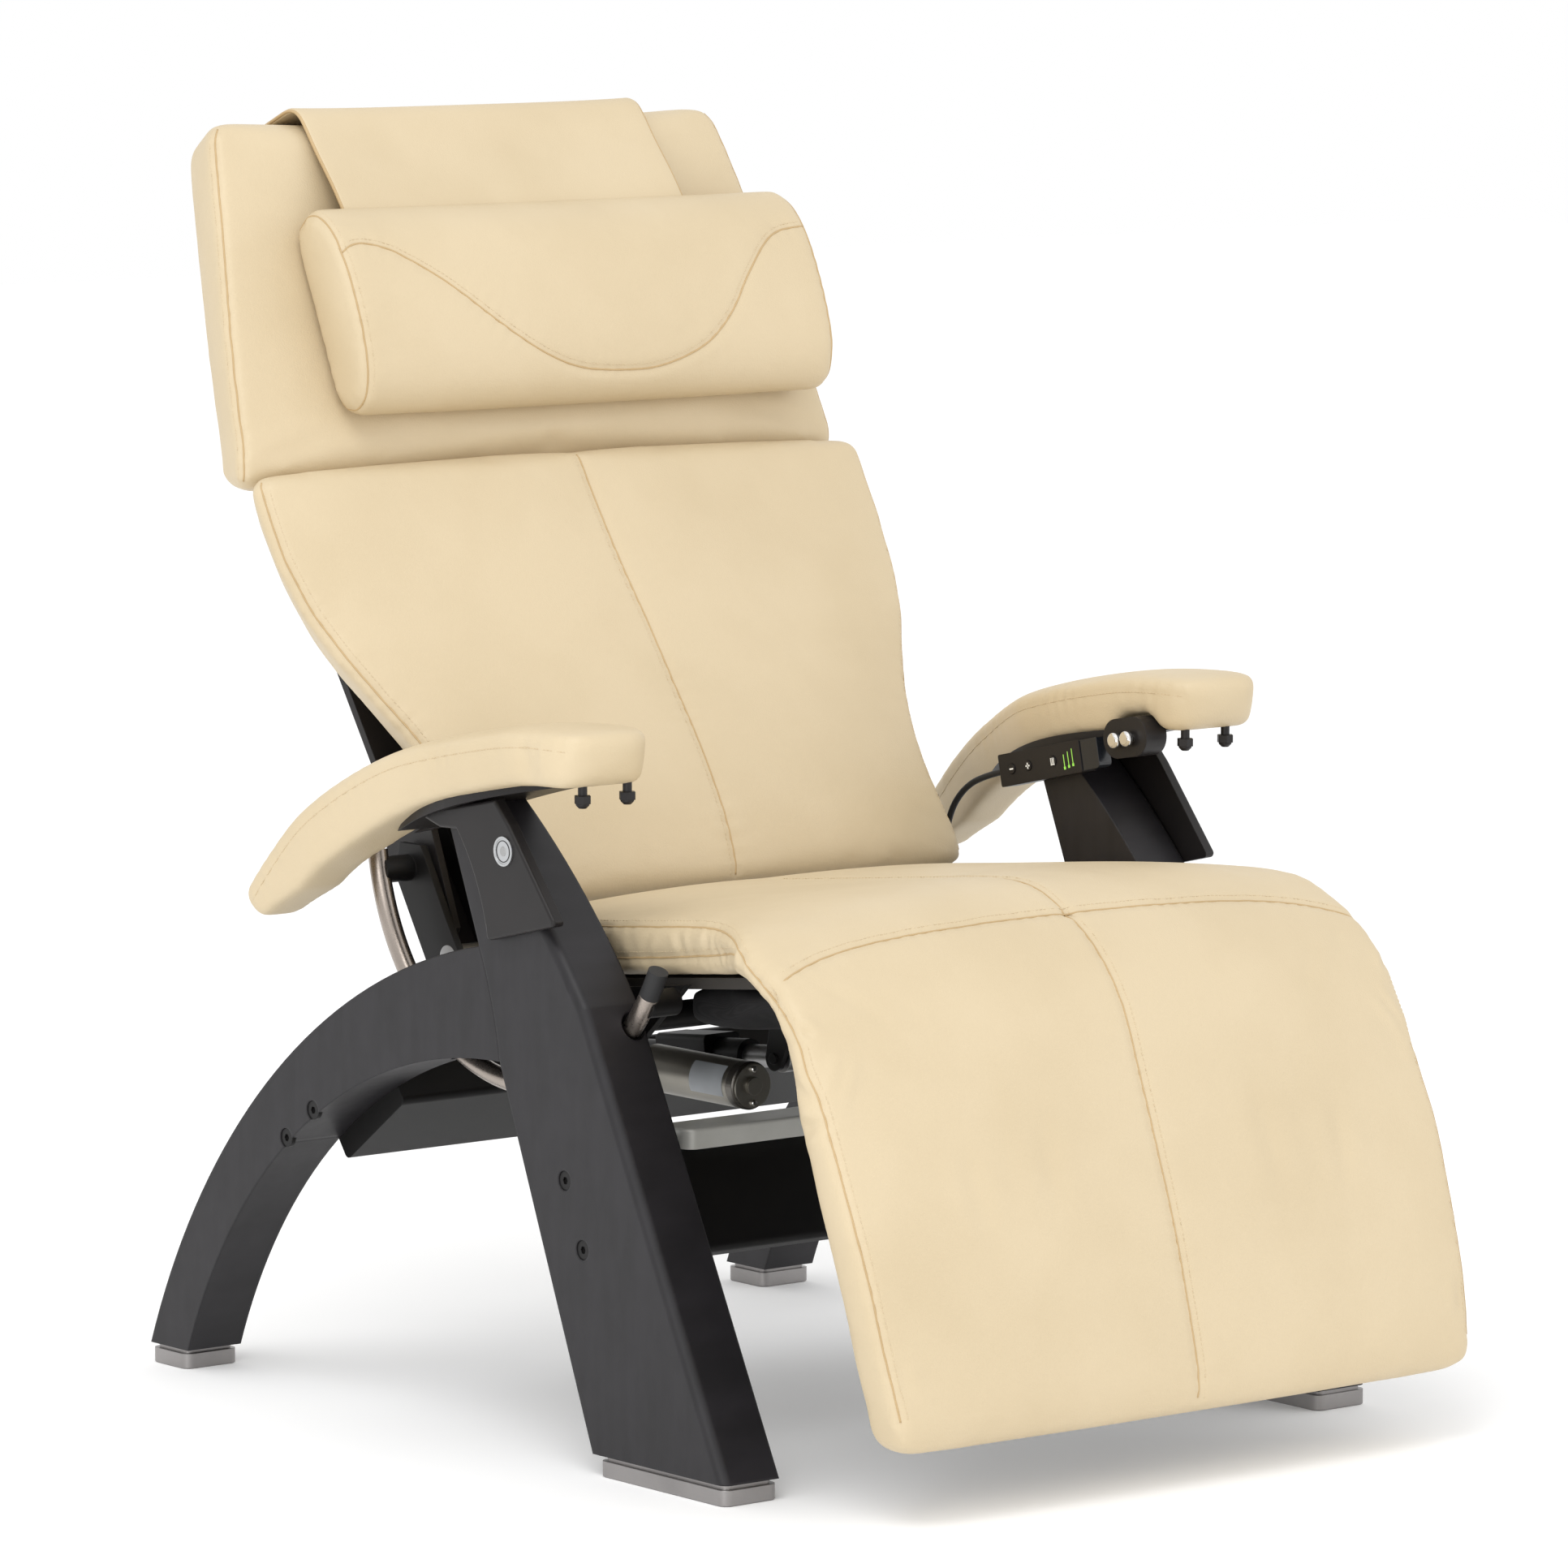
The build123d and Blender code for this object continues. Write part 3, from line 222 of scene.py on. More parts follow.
CREAM = leather("cream_leather_looks", (0.585, 0.474, 0.305), (0.625, 0.512, 0.338), 0.48)
# Darker cord leather: partly real piping, partly painted shade in the seam valleys.
WELT_SHADE = leather("welt_painted_shade", (0.47, 0.33, 0.165), (0.53, 0.38, 0.20), 0.5)
# Slightly darker leather for the arm seams: painted shade that draws a faint line along each seam.
ARM_SEAM_SHADE = leather("arm_seam_painted_shade", (0.53, 0.405, 0.235), (0.57, 0.44, 0.265), 0.5)
THREAD, _, _ = material("thread", (0.66, 0.54, 0.36), 0.6)
WOOD = lacquer("lacquered_wood_looks", (0.0115, 0.0105, 0.012), (0.016, 0.0145, 0.017), 0.42)
TRIM = metal("trim_looks", (0.86, 0.86, 0.81), 0.45, (1, 0.05, 1), 700)
FOOT = metal("foot_looks", (0.34, 0.325, 0.32), 0.36, (1, 0.05, 1), 700)
GUNMETAL = metal("gunmetal_looks", (0.40, 0.35, 0.31), 0.27, (0.2, 1, 1), 500)
SILVER = metal("silver_looks", (0.52, 0.53, 0.54), 0.34)
CHROME = metal("chrome_looks", (0.82, 0.81, 0.79), 0.09, strength=0.05)
OLIVE = metal("motor_looks", (0.30, 0.285, 0.25), 0.36, (1, 0.1, 1), 500)
STEEL = metal("steel_looks", (0.42, 0.42, 0.42), 0.4)
DARK = plastic("dark_plastic_looks", (0.0150, 0.0130, 0.0130), 0.40)
GLOSSY = plastic("glossy_plastic_looks", (0.012, 0.014, 0.018), 0.16, 0.05)
BLACK_STEEL = plastic("black_steel_looks", (0.0050, 0.0045, 0.0045), 0.45, 0.5)
RUBBER = plastic("rubber_looks", (0.016, 0.016, 0.017), 0.6, 0.5)
BOARD = plastic("board_looks", (0.05, 0.045, 0.04), 0.7, 0.6)
CAP = metal("motor_cap_looks", (0.17, 0.16, 0.145), 0.35)
LABEL = plastic("label_looks", (0.50, 0.53, 0.56), 0.5, 0.1)
WHITE_INK, _, _ = material("white_ink", (0.85, 0.85, 0.82), 0.5)
LINING = cloth("lining_looks", (0.010, 0.009, 0.010), 0.8)
GREEN_INK, _, green_shader = material("green_light", (0.30, 0.62, 0.10), 0.4)
green_shader.inputs["Emission Color"].default_value = (0.35, 0.80, 0.10, 1)
green_shader.inputs["Emission Strength"].default_value = 0.35
for looks, socket, value in ((TRIM, "Metallic", 0.25), (DARK, "Specular IOR Level", 0.3),
                             (BLACK_STEEL, "Specular IOR Level", 0.3)):
    looks.node_tree.nodes["Principled BSDF"].inputs[socket].default_value = value


def paint(looks, *names):
    """Gives CAD nodes a material."""
    for name in names:
        slots = nodes[name].data.materials
        slots.clear()
        slots.append(looks)


paint(WOOD, "left_front_leg", "right_front_leg", "left_rear_leg", "right_rear_leg")
paint(FOOT, "front_feet", "rear_feet")
paint(TRIM, "cross_beam_trim")
paint(GUNMETAL, "left_swing_tube", "right_swing_tube")
paint(SILVER, "tower_badges")
paint(CHROME, "button_back", "button_leg")
paint(OLIVE, "recline_motor")
paint(STEEL, "recline_rod", "leg_rod", "back_hinge_shaft", "knee_pins")
paint(DARK, "tower_covers", "arm_pans", "switch_housing", "control_box", "key_minus", "key_plus",
      "key_heat", "arm_knobs", "back_wings", "back_shell", "head_panel")
paint(GLOSSY, "control_box_cap")
paint(BLACK_STEEL, "front_cross_beam", "rear_cross_beam", "leg_bolts", "side_plates", "seat_cross_tube",
      "seat_lugs", "actuator_bracket", "leg_rest_frame", "back_frame", "recline_gearbox",
      "leg_actuator", "air_pump", "power_supply", "massage_motors")
paint(RUBBER, "tube_plugs", "tube_bushes", "lumbar_bladder")
paint(BOARD, "seat_pan", "leg_rest_panel")
paint(LINING, "under_seat_cover", "counterweight")


# ---------------------------------------------------------------- mesh helpers
def new_object(name, verts, faces, looks):
    mesh = bpy.data.meshes.new(name)
    mesh.from_pydata([tuple(map(float, v)) for v in verts], [], faces)
    mesh.validate()
    mesh.materials.append(looks)
    made = bpy.data.objects.new(name, mesh)
    scene.collection.objects.link(made)
    return made


def skin(rows, count):
    """Faces between rows of count vertices each, with both ends capped."""
    faces = []
    for i in range(rows - 1):
        for k in range(count):
            n = (k + 1) % count
            faces.append((i * count + k, i * count + n, (i + 1) * count + n, (i + 1) * count + k))
    faces.append(tuple(range(count))[::-1])
    faces.append(tuple((rows - 1) * count + k for k in range(count)))
    return faces


def loft(name, rings, looks):
    """Closed skin over rings of equal length."""
    made = new_object(name, np.vstack(rings), skin(len(rings), len(rings[0])), looks)
    work = bmesh.new()
    work.from_mesh(made.data)
    bmesh.ops.recalc_face_normals(work, faces=work.faces)
    work.to_mesh(made.data)
    work.free()
    return made


def smooth_shade(obj):
    obj.data.polygons.foreach_set("use_smooth", [True] * len(obj.data.polygons))
    return obj


def read(items, name):
    """A vector property of every item, as rows."""
    flat = np.zeros(len(items) * 3, np.float32)
    items.foreach_get(name, flat)
    return flat.reshape(-1, 3).astype(float)


def coords(obj):
    return read(obj.data.vertices, "co")


def set_coords(obj, points):
    obj.data.vertices.foreach_set("co", points.astype(np.float32).ravel())
    obj.data.update()


def curve_through(points, count):
    """Evenly spaced points on a smooth curve through the given ones."""
    p = np.array(points, float)
    padded = np.vstack([2 * p[0] - p[1], p, 2 * p[-1] - p[-2]])
    dense = []
    for a, b, c, d in zip(padded, padded[1:], padded[2:], padded[3:]):
        for t in np.linspace(0, 1, 24, endpoint=False):
            dense.append(0.5 * (2 * b + (c - a) * t + (2 * a - 5 * b + 4 * c - d) * t**2
                                + (3 * b - a - 3 * c + d) * t**3))
    dense.append(p[-1])
    return resample(np.array(dense), count)


def run_along(p):
    """Distance along a line at each of its points."""
    return np.concatenate([[0], np.cumsum(np.linalg.norm(np.diff(p, axis=0), axis=1))])


def resample(points, count):
    """Evenly spaced points along a line."""
    p = np.array(points, float)
    run = run_along(p)
    wanted = np.linspace(0, run[-1], count)
    return np.stack([np.interp(wanted, run, p[:, k]) for k in range(p.shape[1])], 1)


def track(t, value):
    """A constant, or knots of (t, value), read at t."""
    if isinstance(value, (int, float)):
        return np.full_like(t, value, float)
    knots = np.array(value, float)
    return np.interp(t, knots[:, 0], knots[:, 1])


FRONT_STEPS, CORNER_STEPS, SIDE_STEPS, REAR_STEPS = 36, 6, 6, 18
CROWN_POWER = 2.4
PIPING = 0.29  # share of the edge radius at which the piping runs


def section(half, thick, crown, edge, rear_edge, taper):
    """Closed outline (x, depth) of a pad's cross-section, from its left front corner round."""
    fx = np.linspace(-(half - edge), half - edge, FRONT_STEPS)
    fd = crown * np.abs(fx / half) ** CROWN_POWER
    start = fd[-1]
    a = np.linspace(0, math.pi / 2, CORNER_STEPS + 1)[1:]
    right = np.stack([half - edge + edge * np.sin(a), start + edge - edge * np.cos(a)], 1)
    foot = (half - taper, thick - rear_edge)
    side = np.linspace(right[-1], foot, SIDE_STEPS + 1)[1:]
    rear = np.stack([half - taper - rear_edge + rear_edge * np.cos(a),
                     thick - rear_edge + rear_edge * np.sin(a)], 1)
    turn = np.vstack([right, side, rear])
    back = np.linspace(rear[-1], rear[-1] * (-1, 1), REAR_STEPS)[1:-1]
    return np.vstack([np.stack([fx, fd], 1), turn, back, (turn * (-1, 1))[::-1]])


class Pad:
    """A cushion drawn along its front centre line in the side view. Its sizes are constants, or
    knots of (share of the line, value)."""

    def __init__(self, line, thick, half, crown, edge, taper=0.0, rear_edge=0.012, ends=(0.02, 0.02),
                 steps=110, middle=0.0, inward=1.0):
        self.line = curve_through(line, 400)
        run = run_along(self.line)
        self.long = run[-1]
        self.t = run / self.long
        self.thick, self.half, self.crown, self.edge, self.taper = thick, half, crown, edge, taper
        self.rear_edge, self.ends, self.steps = rear_edge, ends, steps
        self.middle, self.inward = middle, inward

    def front(self, t):
        """Side-view points of the front centre line at t."""
        return np.stack([np.interp(t, self.t, self.line[:, k]) for k in (0, 1)], 1)

    def place(self, t, x, depth):
        """Points in space at t, x across and depth behind the front centre line."""
        gap = 0.01
        along = self.front(t + gap) - self.front(t - gap)
        along /= np.linalg.norm(along, axis=1)[:, None]
        inward = self.inward * np.stack([-along[:, 1], along[:, 0]], 1)
        spot = self.front(t) + inward * np.atleast_1d(depth)[:, None]
        return np.column_stack([x + track(t, self.middle), spot])

    def held(self, p, depth, reach, steps=200):
        """Cloth hold: 1 at this depth behind the front line, fading to 0 over about reach."""
        t = np.linspace(0, 1, steps)
        far, _ = nearest(p * (0, 1, 1), self.place(t, 0.0, track(t, depth)) * (0, 1, 1))
        return np.clip(1.6 - far / reach, 0, 1)

    def build(self, name, looks):
        ease = 0.5 - 0.5 * np.cos(np.linspace(0, math.pi, self.steps))
        even = np.linspace(0, 1, self.steps)
        ts = np.sort(0.35 * ease + 0.65 * even)
        rings = []
        for t in ts:
            one = np.array([t])
            inset = 0.0
            for limit, radius in ((t * self.long, self.ends[0]), ((1 - t) * self.long, self.ends[1])):
                if limit < radius:
                    inset = max(inset, radius - math.sqrt(max(0.0, radius**2 - (radius - limit) ** 2)))
            thick = track(one, self.thick)[0]
            outline = section(track(one, self.half)[0] - inset, thick - 2 * inset,
                              track(one, self.crown)[0], track(one, self.edge)[0],
                              min(self.rear_edge, thick / 4), track(one, self.taper)[0])
            outline[:, 1] += inset
            rings.append(self.place(np.full(len(outline), t), outline[:, 0], outline[:, 1]))
        return loft(name, rings, looks)


def baked(obj):
    """Replaces obj's mesh by its evaluated one and drops its modifiers."""
    graph = bpy.context.evaluated_depsgraph_get()
    graph.update()
    mesh = bpy.data.meshes.new_from_object(obj.evaluated_get(graph))
    looks = list(obj.data.materials)
    obj.modifiers.clear()
    old = obj.data
    obj.data = mesh
    bpy.data.meshes.remove(old)
    mesh.name = obj.name
    mesh.materials.clear()
    for look in looks:
        mesh.materials.append(look)
    return obj


def remesh(obj, size):
    step = obj.modifiers.new("remesh", "REMESH")
    step.mode = "VOXEL"
    step.voxel_size = size
    return baked(obj)


def subdivide(obj):
    step = obj.modifiers.new("sub", "SUBSURF")
    step.levels = step.render_levels = 1
    return baked(obj)


def relax(obj, times):
    """Moves each vertex towards the mean of its neighbours."""
    p = coords(obj)
    edges = np.zeros(len(obj.data.edges) * 2, np.int32)
    obj.data.edges.foreach_get("vertices", edges)
    a, b = edges.reshape(-1, 2).T
    degree = np.maximum(np.bincount(np.concatenate([a, b]), minlength=len(p)), 1)[:, None]
    for _ in range(times):
        total = np.stack([np.bincount(a, p[b, k], len(p)) + np.bincount(b, p[a, k], len(p))
                          for k in range(3)], 1)
        p += 0.5 * (total / degree - p)
    set_coords(obj, p)


def nearest(points, targets):
    """For each point: distance to the closest target, and that target's index."""
    tree = KDTree(len(targets))
    for i, spot in enumerate(targets):
        tree.insert(spot, i)
    tree.balance()
    found = [tree.find(p) for p in points]
    return np.array([f[2] for f in found]), np.array([f[1] for f in found])


SEAM_STEP = 0.003


def dense(path):
    p = np.array(path, float)
    long = np.linalg.norm(np.diff(p, axis=0), axis=1).sum()
    return resample(p, max(2, int(long / SEAM_STEP)))


CLOTH = dict(quality=4, mass=0.35, tension_stiffness=18, compression_stiffness=18, shear_stiffness=8,
             bending_stiffness=1.5, use_pressure=True, vertex_group_mass="hold")
CLOTH_FRAMES = 20


def swell(obj, seams, pressure, cap, hold=None):
    """Inflates a pad as cloth that is sewn down along its seams, and held where hold says."""
    rest = coords(obj)
    far, _ = nearest(rest, np.vstack([dense(s) for s in seams]))
    pin = np.clip(1.4 - far / 0.006, 0, 1)
    if hold is not None:
        pin = np.maximum(pin, hold(rest))
    group = obj.vertex_groups.new(name="hold")
    for level in np.linspace(0.1, 1, 10):
        picked = np.nonzero(np.abs(pin - level) <= 0.05)[0]
        group.add([int(i) for i in picked], float(level), "REPLACE")
    step = obj.modifiers.new("cloth", "CLOTH")
    for key, value in dict(CLOTH, uniform_pressure_force=pressure).items():
        setattr(step.settings, key, value)
    step.settings.effector_weights.gravity = 0
    step.collision_settings.use_collision = False
    for number in range(1, CLOTH_FRAMES + 1):
        scene.frame_set(number)
    graph = bpy.context.evaluated_depsgraph_get()
    result = bpy.data.meshes.new_from_object(obj.evaluated_get(graph))
    blown = read(result.vertices, "co")
    bpy.data.meshes.remove(result)
    obj.modifiers.clear()
    obj.vertex_groups.clear()
    scene.frame_set(1)
    shift = blown - rest
    size = np.linalg.norm(shift, axis=1)[:, None]
    set_coords(obj, rest + shift * np.minimum(1, cap / np.maximum(size, 1e-9)))
    relax(obj, 3)


def sew(obj, seams, depth):
    """Sinks the leather along its seams and puckers it beside them."""
    width, pucker, reach, gather = 0.0055, 0.0003, 0.016, 0.017
    p, n = coords(obj), read(obj.data.vertex_normals, "vector")
    for seam in seams:
        line = dense(seam)
        far, index = nearest(p, line)
        along = index * SEAM_STEP
        wave = np.sin(along * 2 * math.pi / gather + 1.7 * np.sin(along * 41))
        wave *= np.sin(along * 23 + 0.6)
        sink = depth * np.exp(-((far / width) ** 2))
        ripple = pucker * wave * np.exp(-((far / reach) ** 2))
        p -= n * (sink + ripple)[:, None]
    set_coords(obj, p)


def fold(obj, start, end, depth, width):
    """Presses one soft crease that fades towards both ends."""
    p, n = coords(obj), read(obj.data.vertex_normals, "vector")
    a, b = np.array(start, float), np.array(end, float)
    long = np.linalg.norm(b - a)
    t = np.clip((p - a) @ (b - a) / long**2, 0, 1)
    off = np.linalg.norm(p - (a + t[:, None] * (b - a)), axis=1)
    shape = np.sin(np.pi * np.clip(t, 0.02, 0.98)) * (off < 6 * width)
    raise_side = 0.55 * np.exp(-(((off - 2.1 * width) / (1.2 * width)) ** 2))
    p += n * (depth * shape * (raise_side - np.exp(-((off / width) ** 2))))[:, None]
    set_coords(obj, p)


def surface(obj):
    return BVHTree.FromPolygons([tuple(c) for c in coords(obj)],
                                [tuple(f.vertices) for f in obj.data.polygons])


def lay_on(tree, points, lift):
    """Points moved onto the surface and raised by lift, with the normals there."""
    put, up = [], []
    for p in points:
        spot, normal, _, _ = tree.find_nearest(Vector(p))
        put.append(np.array(spot) + np.array(normal) * lift)
        up.append(np.array(normal))
    return np.array(put), np.array(up)


def even_out(points, times=6):
    p = points.copy()
    for _ in range(times):
        p[1:-1] = 0.5 * p[1:-1] + 0.25 * (p[:-2] + p[2:])
    return p


def tube_mesh(points, radius, sides=8):
    """Vertices and faces of a closed round tube along points."""
    p = np.array(points, float)
    tangent = np.gradient(p, axis=0)
    tangent /= np.maximum(np.linalg.norm(tangent, axis=1), 1e-12)[:, None]
    up = np.cross(tangent[0], (0.3, 0.5, 0.81))
    verts = []
    for spot, way in zip(p, tangent):
        up = up - way * (up @ way)
        up /= np.linalg.norm(up)
        other = np.cross(way, up)
        angles = np.linspace(0, 2 * math.pi, sides, endpoint=False)
        verts.append(spot + radius * (np.outer(np.cos(angles), up) + np.outer(np.sin(angles), other)))
    return np.vstack(verts), skin(len(p), sides)


def joined(parts):
    verts, faces, base = [], [], 0
    for v, f in parts:
        verts.append(v)
        faces += [tuple(i + base for i in face) for face in f]
        base += len(v)
    return np.vstack(verts), faces


def welts(name, tree, seams, radius, lift=-0.0001, looks=WELT_SHADE):
    """Thin leather cord showing in each seam, lift above the surface; its darker leather is partly
    piping and partly painted shade in the seam valley.
    """
    parts = [tube_mesh(even_out(lay_on(tree, dense(s), lift)[0], 3), radius) for s in seams]
    return smooth_shade(new_object(name, *joined(parts), looks))


STITCH_LONG, STITCH_PITCH, STITCH_R = 0.0027, 0.0045, 0.0003
PAD_PRESSURE = 4.0


def stitches(name, tree, rows):
    """Topstitching: rows of (seam, sideways distance, sideways direction)."""
    parts = []
    for seam, aside, toward in rows:
        line, up = lay_on(tree, dense(seam), 0)
        line = even_out(line, 6)
        way = np.gradient(line, axis=0)
        sideways = np.cross(way, up)
        sideways /= np.maximum(np.linalg.norm(sideways, axis=1), 1e-9)[:, None]
        flip = np.sign(sideways @ np.array(toward, float))
        flip[flip == 0] = 1
        moved, _ = lay_on(tree, line + sideways * (flip * aside)[:, None], 0.00012)
        moved = even_out(moved, 4)
        long = np.linalg.norm(np.diff(moved, axis=0), axis=1).sum()
        fine = resample(moved, max(8, int(long / (STITCH_LONG / 3))))
        pitch = max(4, round(STITCH_PITCH / (STITCH_LONG / 3)))
        for i in range(0, len(fine) - 3, pitch):
            parts.append(tube_mesh(fine[i:i + 4], STITCH_R, 5))
    return smooth_shade(new_object(name, *joined(parts), THREAD))


def upholster(obj, name, seams, rows, mount, cap, hold, voxel=0.0055, folds=(), depth=0.0024,
              cord=0.0009, looks=WELT_SHADE):
    """Turns a rough pad into sewn leather, and mounts it with its welts and stitches."""
    remesh(obj, voxel)
    relax(obj, 4)
    swell(obj, seams, PAD_PRESSURE, cap, hold)
    subdivide(obj)
    for crease in folds:
        fold(obj, *crease)
    sew(obj, seams, depth)
    smooth_shade(obj)
    tree = surface(obj)
    for piece in (obj, welts(name + "_welts", tree, seams, cord, looks=looks),
                  stitches(name + "_stitches", tree, rows)):
        mount(piece)


# ---------------------------------------------------------------- lead
def lead():
    data = bpy.data.curves.new("control_lead", "CURVE")
    data.dimensions = "3D"
    data.bevel_depth = CABLE_DIAMETER / 2
    data.bevel_resolution = 5
    data.resolution_u = 16
    data.use_fill_caps = True
    spline = data.splines.new("NURBS")
    spline.points.add(len(CABLE_ROUTE) - 1)
    for point, spot in zip(spline.points, CABLE_ROUTE):
        point.co = (*spot, 1)
    spline.order_u = 3
    spline.use_endpoint_u = True
    data.materials.append(RUBBER)
    made = bpy.data.objects.new("control_lead", data)
    scene.collection.objects.link(made)
    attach(made, "base")
    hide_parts("control_cable")


lead()


# ---------------------------------------------------------------- seat and leg rest
CROSS_SEAM_Y = -0.3885

# Creases of the seat and leg-rest cover: x, y, z of one end, the way to the other, depth, width
CREASES = [
    (0.332, -0.479, 0.344, -0.036, 0.020, 0.052, 0.0042, 0.0050),
    (0.330, -0.484, 0.330, -0.020, -0.006, 0.020, 0.0030, 0.0045),
    (0.338, -0.470, 0.341, 0.000, 0.040, -0.022, 0.0030, 0.0060),
    (0.338, -0.462, 0.352, 0.000, 0.036, 0.010, 0.0022, 0.0060),
    (0.334, -0.432, 0.418, -0.014, -0.006, -0.018, 0.0024, 0.0040),
    (0.336, -0.425, 0.400, 0.000, 0.045, -0.010, 0.0024, 0.0060),
    (0.332, -0.392, 0.425, 0.000, 0.036, -0.006, 0.0022, 0.0060),
    (0.325, -0.352, 0.448, 0.000, 0.030, -0.018, 0.0022, 0.0055),
    (0.305, -0.296, 0.462, 0.004, 0.010, -0.026, 0.0022, 0.0050),
    (0.296, -0.262, 0.470, 0.000, 0.012, -0.030, 0.0018, 0.0050),
    (0.292, -0.212, 0.470, 0.000, -0.008, -0.030, 0.0016, 0.0050),
    (0.292, -0.176, 0.465, 0.000, 0.012, -0.028, 0.0014, 0.0045),
    (0.210, -0.503, 0.318, -0.008, -0.030, -0.090, 0.0016, 0.0100),
    (0.120, -0.495, 0.330, 0.006, -0.028, -0.100, 0.0013, 0.0110),
    (0.318, -0.548, 0.150, -0.006, -0.004, -0.040, 0.0016, 0.0060),
]


def seat_and_leg():
    """One leather cover runs over the seat, bends over the knee and ends at the heels."""
    line = [(0.057, 0.459), (-0.05, 0.4705), (-0.18, 0.485), (-0.265, 0.4945), (-0.318, 0.4985),
            (-0.350, 0.494), (-0.3765, 0.483), (-0.407, 0.4665), (-0.435, 0.4425), (-0.4575, 0.414),
            (-0.471, 0.386), (-0.4815, 0.358), (-0.494, 0.325), (-0.508, 0.287), (-0.522, 0.249),
            (-0.535, 0.209), (-0.547, 0.167), (-0.556, 0.132), (-0.5635, 0.098), (-0.566, 0.064)]
    thick = [(0, 0.062), (0.35, 0.062), (0.42, 0.056), (0.5, 0.050), (0.58, 0.052), (0.66, 0.060),
             (1, 0.061)]
    half = [(0, 0.289), (0.31, 0.290), (0.36, 0.297), (0.40, 0.313), (0.44, 0.327), (0.48, 0.332),
            (0.6, 0.336), (0.75, 0.338), (0.9, 0.332), (1, 0.322)]
    crown = [(0, 0.012), (0.33, 0.014), (0.48, 0.022), (0.62, 0.020), (0.75, 0.010), (1, 0.006)]
    edge = [(0, 0.012), (0.33, 0.014), (0.48, 0.018), (0.62, 0.016), (0.75, 0.010), (1, 0.009)]
    pad = Pad(line, thick, half, crown, edge, taper=0.004, ends=(0.016, 0.018))
    obj = pad.build("seat_leather", CREAM)
    t = np.linspace(0.004, 0.965, 200)
    seams = []
    for sign in (-1, 1):
        middle = track(t, half) - PIPING * track(t, edge)
        drop = (0.009 * np.exp(-(((t - 0.52) / 0.09) ** 2))
                + 0.003 * np.exp(-(((t - 0.63) / 0.02) ** 2)))
        deep = track(t, crown) + PIPING * track(t, edge) + drop
        seams.append(pad.place(t, sign * (middle + 0.3 * drop), deep))
    knee = np.linspace(-1, 1, 121)
    cross_t = np.interp(CROSS_SEAM_Y, pad.line[::-1, 0], pad.t[::-1])
    bend = cross_t + 0.035 * np.abs(knee) ** 7
    width = track(bend, half)
    reach_in = PIPING * track(bend, edge) + 0.006
    across = pad.place(bend, knee * (width - 0.0045),
                       track(bend, crown) * np.abs(knee) ** CROWN_POWER + reach_in * np.abs(knee) ** 24)
    low = np.linspace(cross_t, 0.985, 120)
    centre_low = pad.place(low, 0.0, np.zeros(len(low)))
    top = np.linspace(0.05, cross_t, 80)
    centre_top = pad.place(top, 0.0, np.zeros(len(top)))
    seams += [across, centre_low, centre_top]
    side_t = np.linspace(0.004, 0.43, 80)
    for sign in (-1, 1):
        seams.append(pad.place(side_t, sign * (track(side_t, half) - 0.003),
                               np.full(len(side_t), 0.047) - 0.010 * (side_t / 0.43) ** 6))

    def mount(piece):
        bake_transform(piece)

    def hold(p):
        """The underside rests on the boards and stays put."""
        return pad.held(p, thick, 0.006)

    rows = [(seams[0], 0.007, (1, 0, 0)), (seams[1], 0.007, (-1, 0, 0)),
            (across, 0.007, (0, 1, 1)), (centre_low, 0.007, (1, 0, 0)),
            (centre_top, 0.007, (1, 0, 0)), (seams[5], 0.006, (0, 0, 1)), (seams[6], 0.006, (0, 0, 1))]
    folds = [((sign * x, y, z), (sign * (x + dx), y + dy, z + dz), deep, wide)
             for x, y, z, dx, dy, dz, deep, wide in CREASES for sign in (-1, 1)]
    upholster(obj, "seat", seams, rows, mount, cap=0.010, hold=hold, folds=folds)
    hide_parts("seat_cushion", "leg_rest_cushion")


# ---------------------------------------------------------------- back
BACK_THICK, HEAD_THICK = 0.084, 0.072


def on_back(piece):
    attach(piece, "back")


def back():
    """Hourglass back pad with a seam down its middle."""
    line = [(0.063, 0.453), (0.079, 0.503), (0.100, 0.542), (0.124, 0.580), (0.160, 0.629),
            (0.198, 0.681), (0.234, 0.727), (0.264, 0.769), (0.290, 0.808), (0.306, 0.838)]
    half = [(0, 0.284), (0.06, 0.280), (0.13, 0.274), (0.22, 0.272), (0.31, 0.276), (0.41, 0.289),
            (0.50, 0.307), (0.60, 0.327), (0.70, 0.341), (0.82, 0.349), (1, 0.350)]
    crown = [(0, 0.012), (0.25, 0.020), (0.5, 0.026), (0.8, 0.024), (1, 0.018)]
    edge = 0.016
    pad = Pad(line, [(0, 0.07), (0.2, BACK_THICK), (1, BACK_THICK)], half, crown, edge, taper=0.03,
              ends=(0.016, 0.020), inward=-1.0)
    obj = pad.build("back_leather", CREAM)
    t = np.linspace(0.03, 0.995, 160)
    seams = [pad.place(t, sign * (track(t, half) - PIPING * edge), track(t, crown) + PIPING * edge)
             for sign in (-1, 1)]
    centre_t = np.linspace(0.02, 0.985, 140)
    centre = pad.place(centre_t, 0.0, np.zeros(len(centre_t)))
    seams.append(centre)

    def hold(p):
        return pad.held(p, BACK_THICK, 0.008)

    rows = [(seams[0], 0.007, (1, 0, 0)), (seams[1], 0.007, (-1, 0, 0)), (centre, 0.007, (-1, 0, 0))]
    upholster(obj, "back", seams, rows, on_back, cap=0.010, hold=hold)
    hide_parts("back_cushion")


HEAD_FOOT = np.array((0.337, 0.833))
HEAD_LEAN = math.radians(23.4)


def head_at(up, depth):
    """Side-view point of the head cushion, up its face and depth behind it."""
    return (HEAD_FOOT[0] + up * math.sin(HEAD_LEAN) + depth * math.cos(HEAD_LEAN),
            HEAD_FOOT[1] + up * math.cos(HEAD_LEAN) - depth * math.sin(HEAD_LEAN))


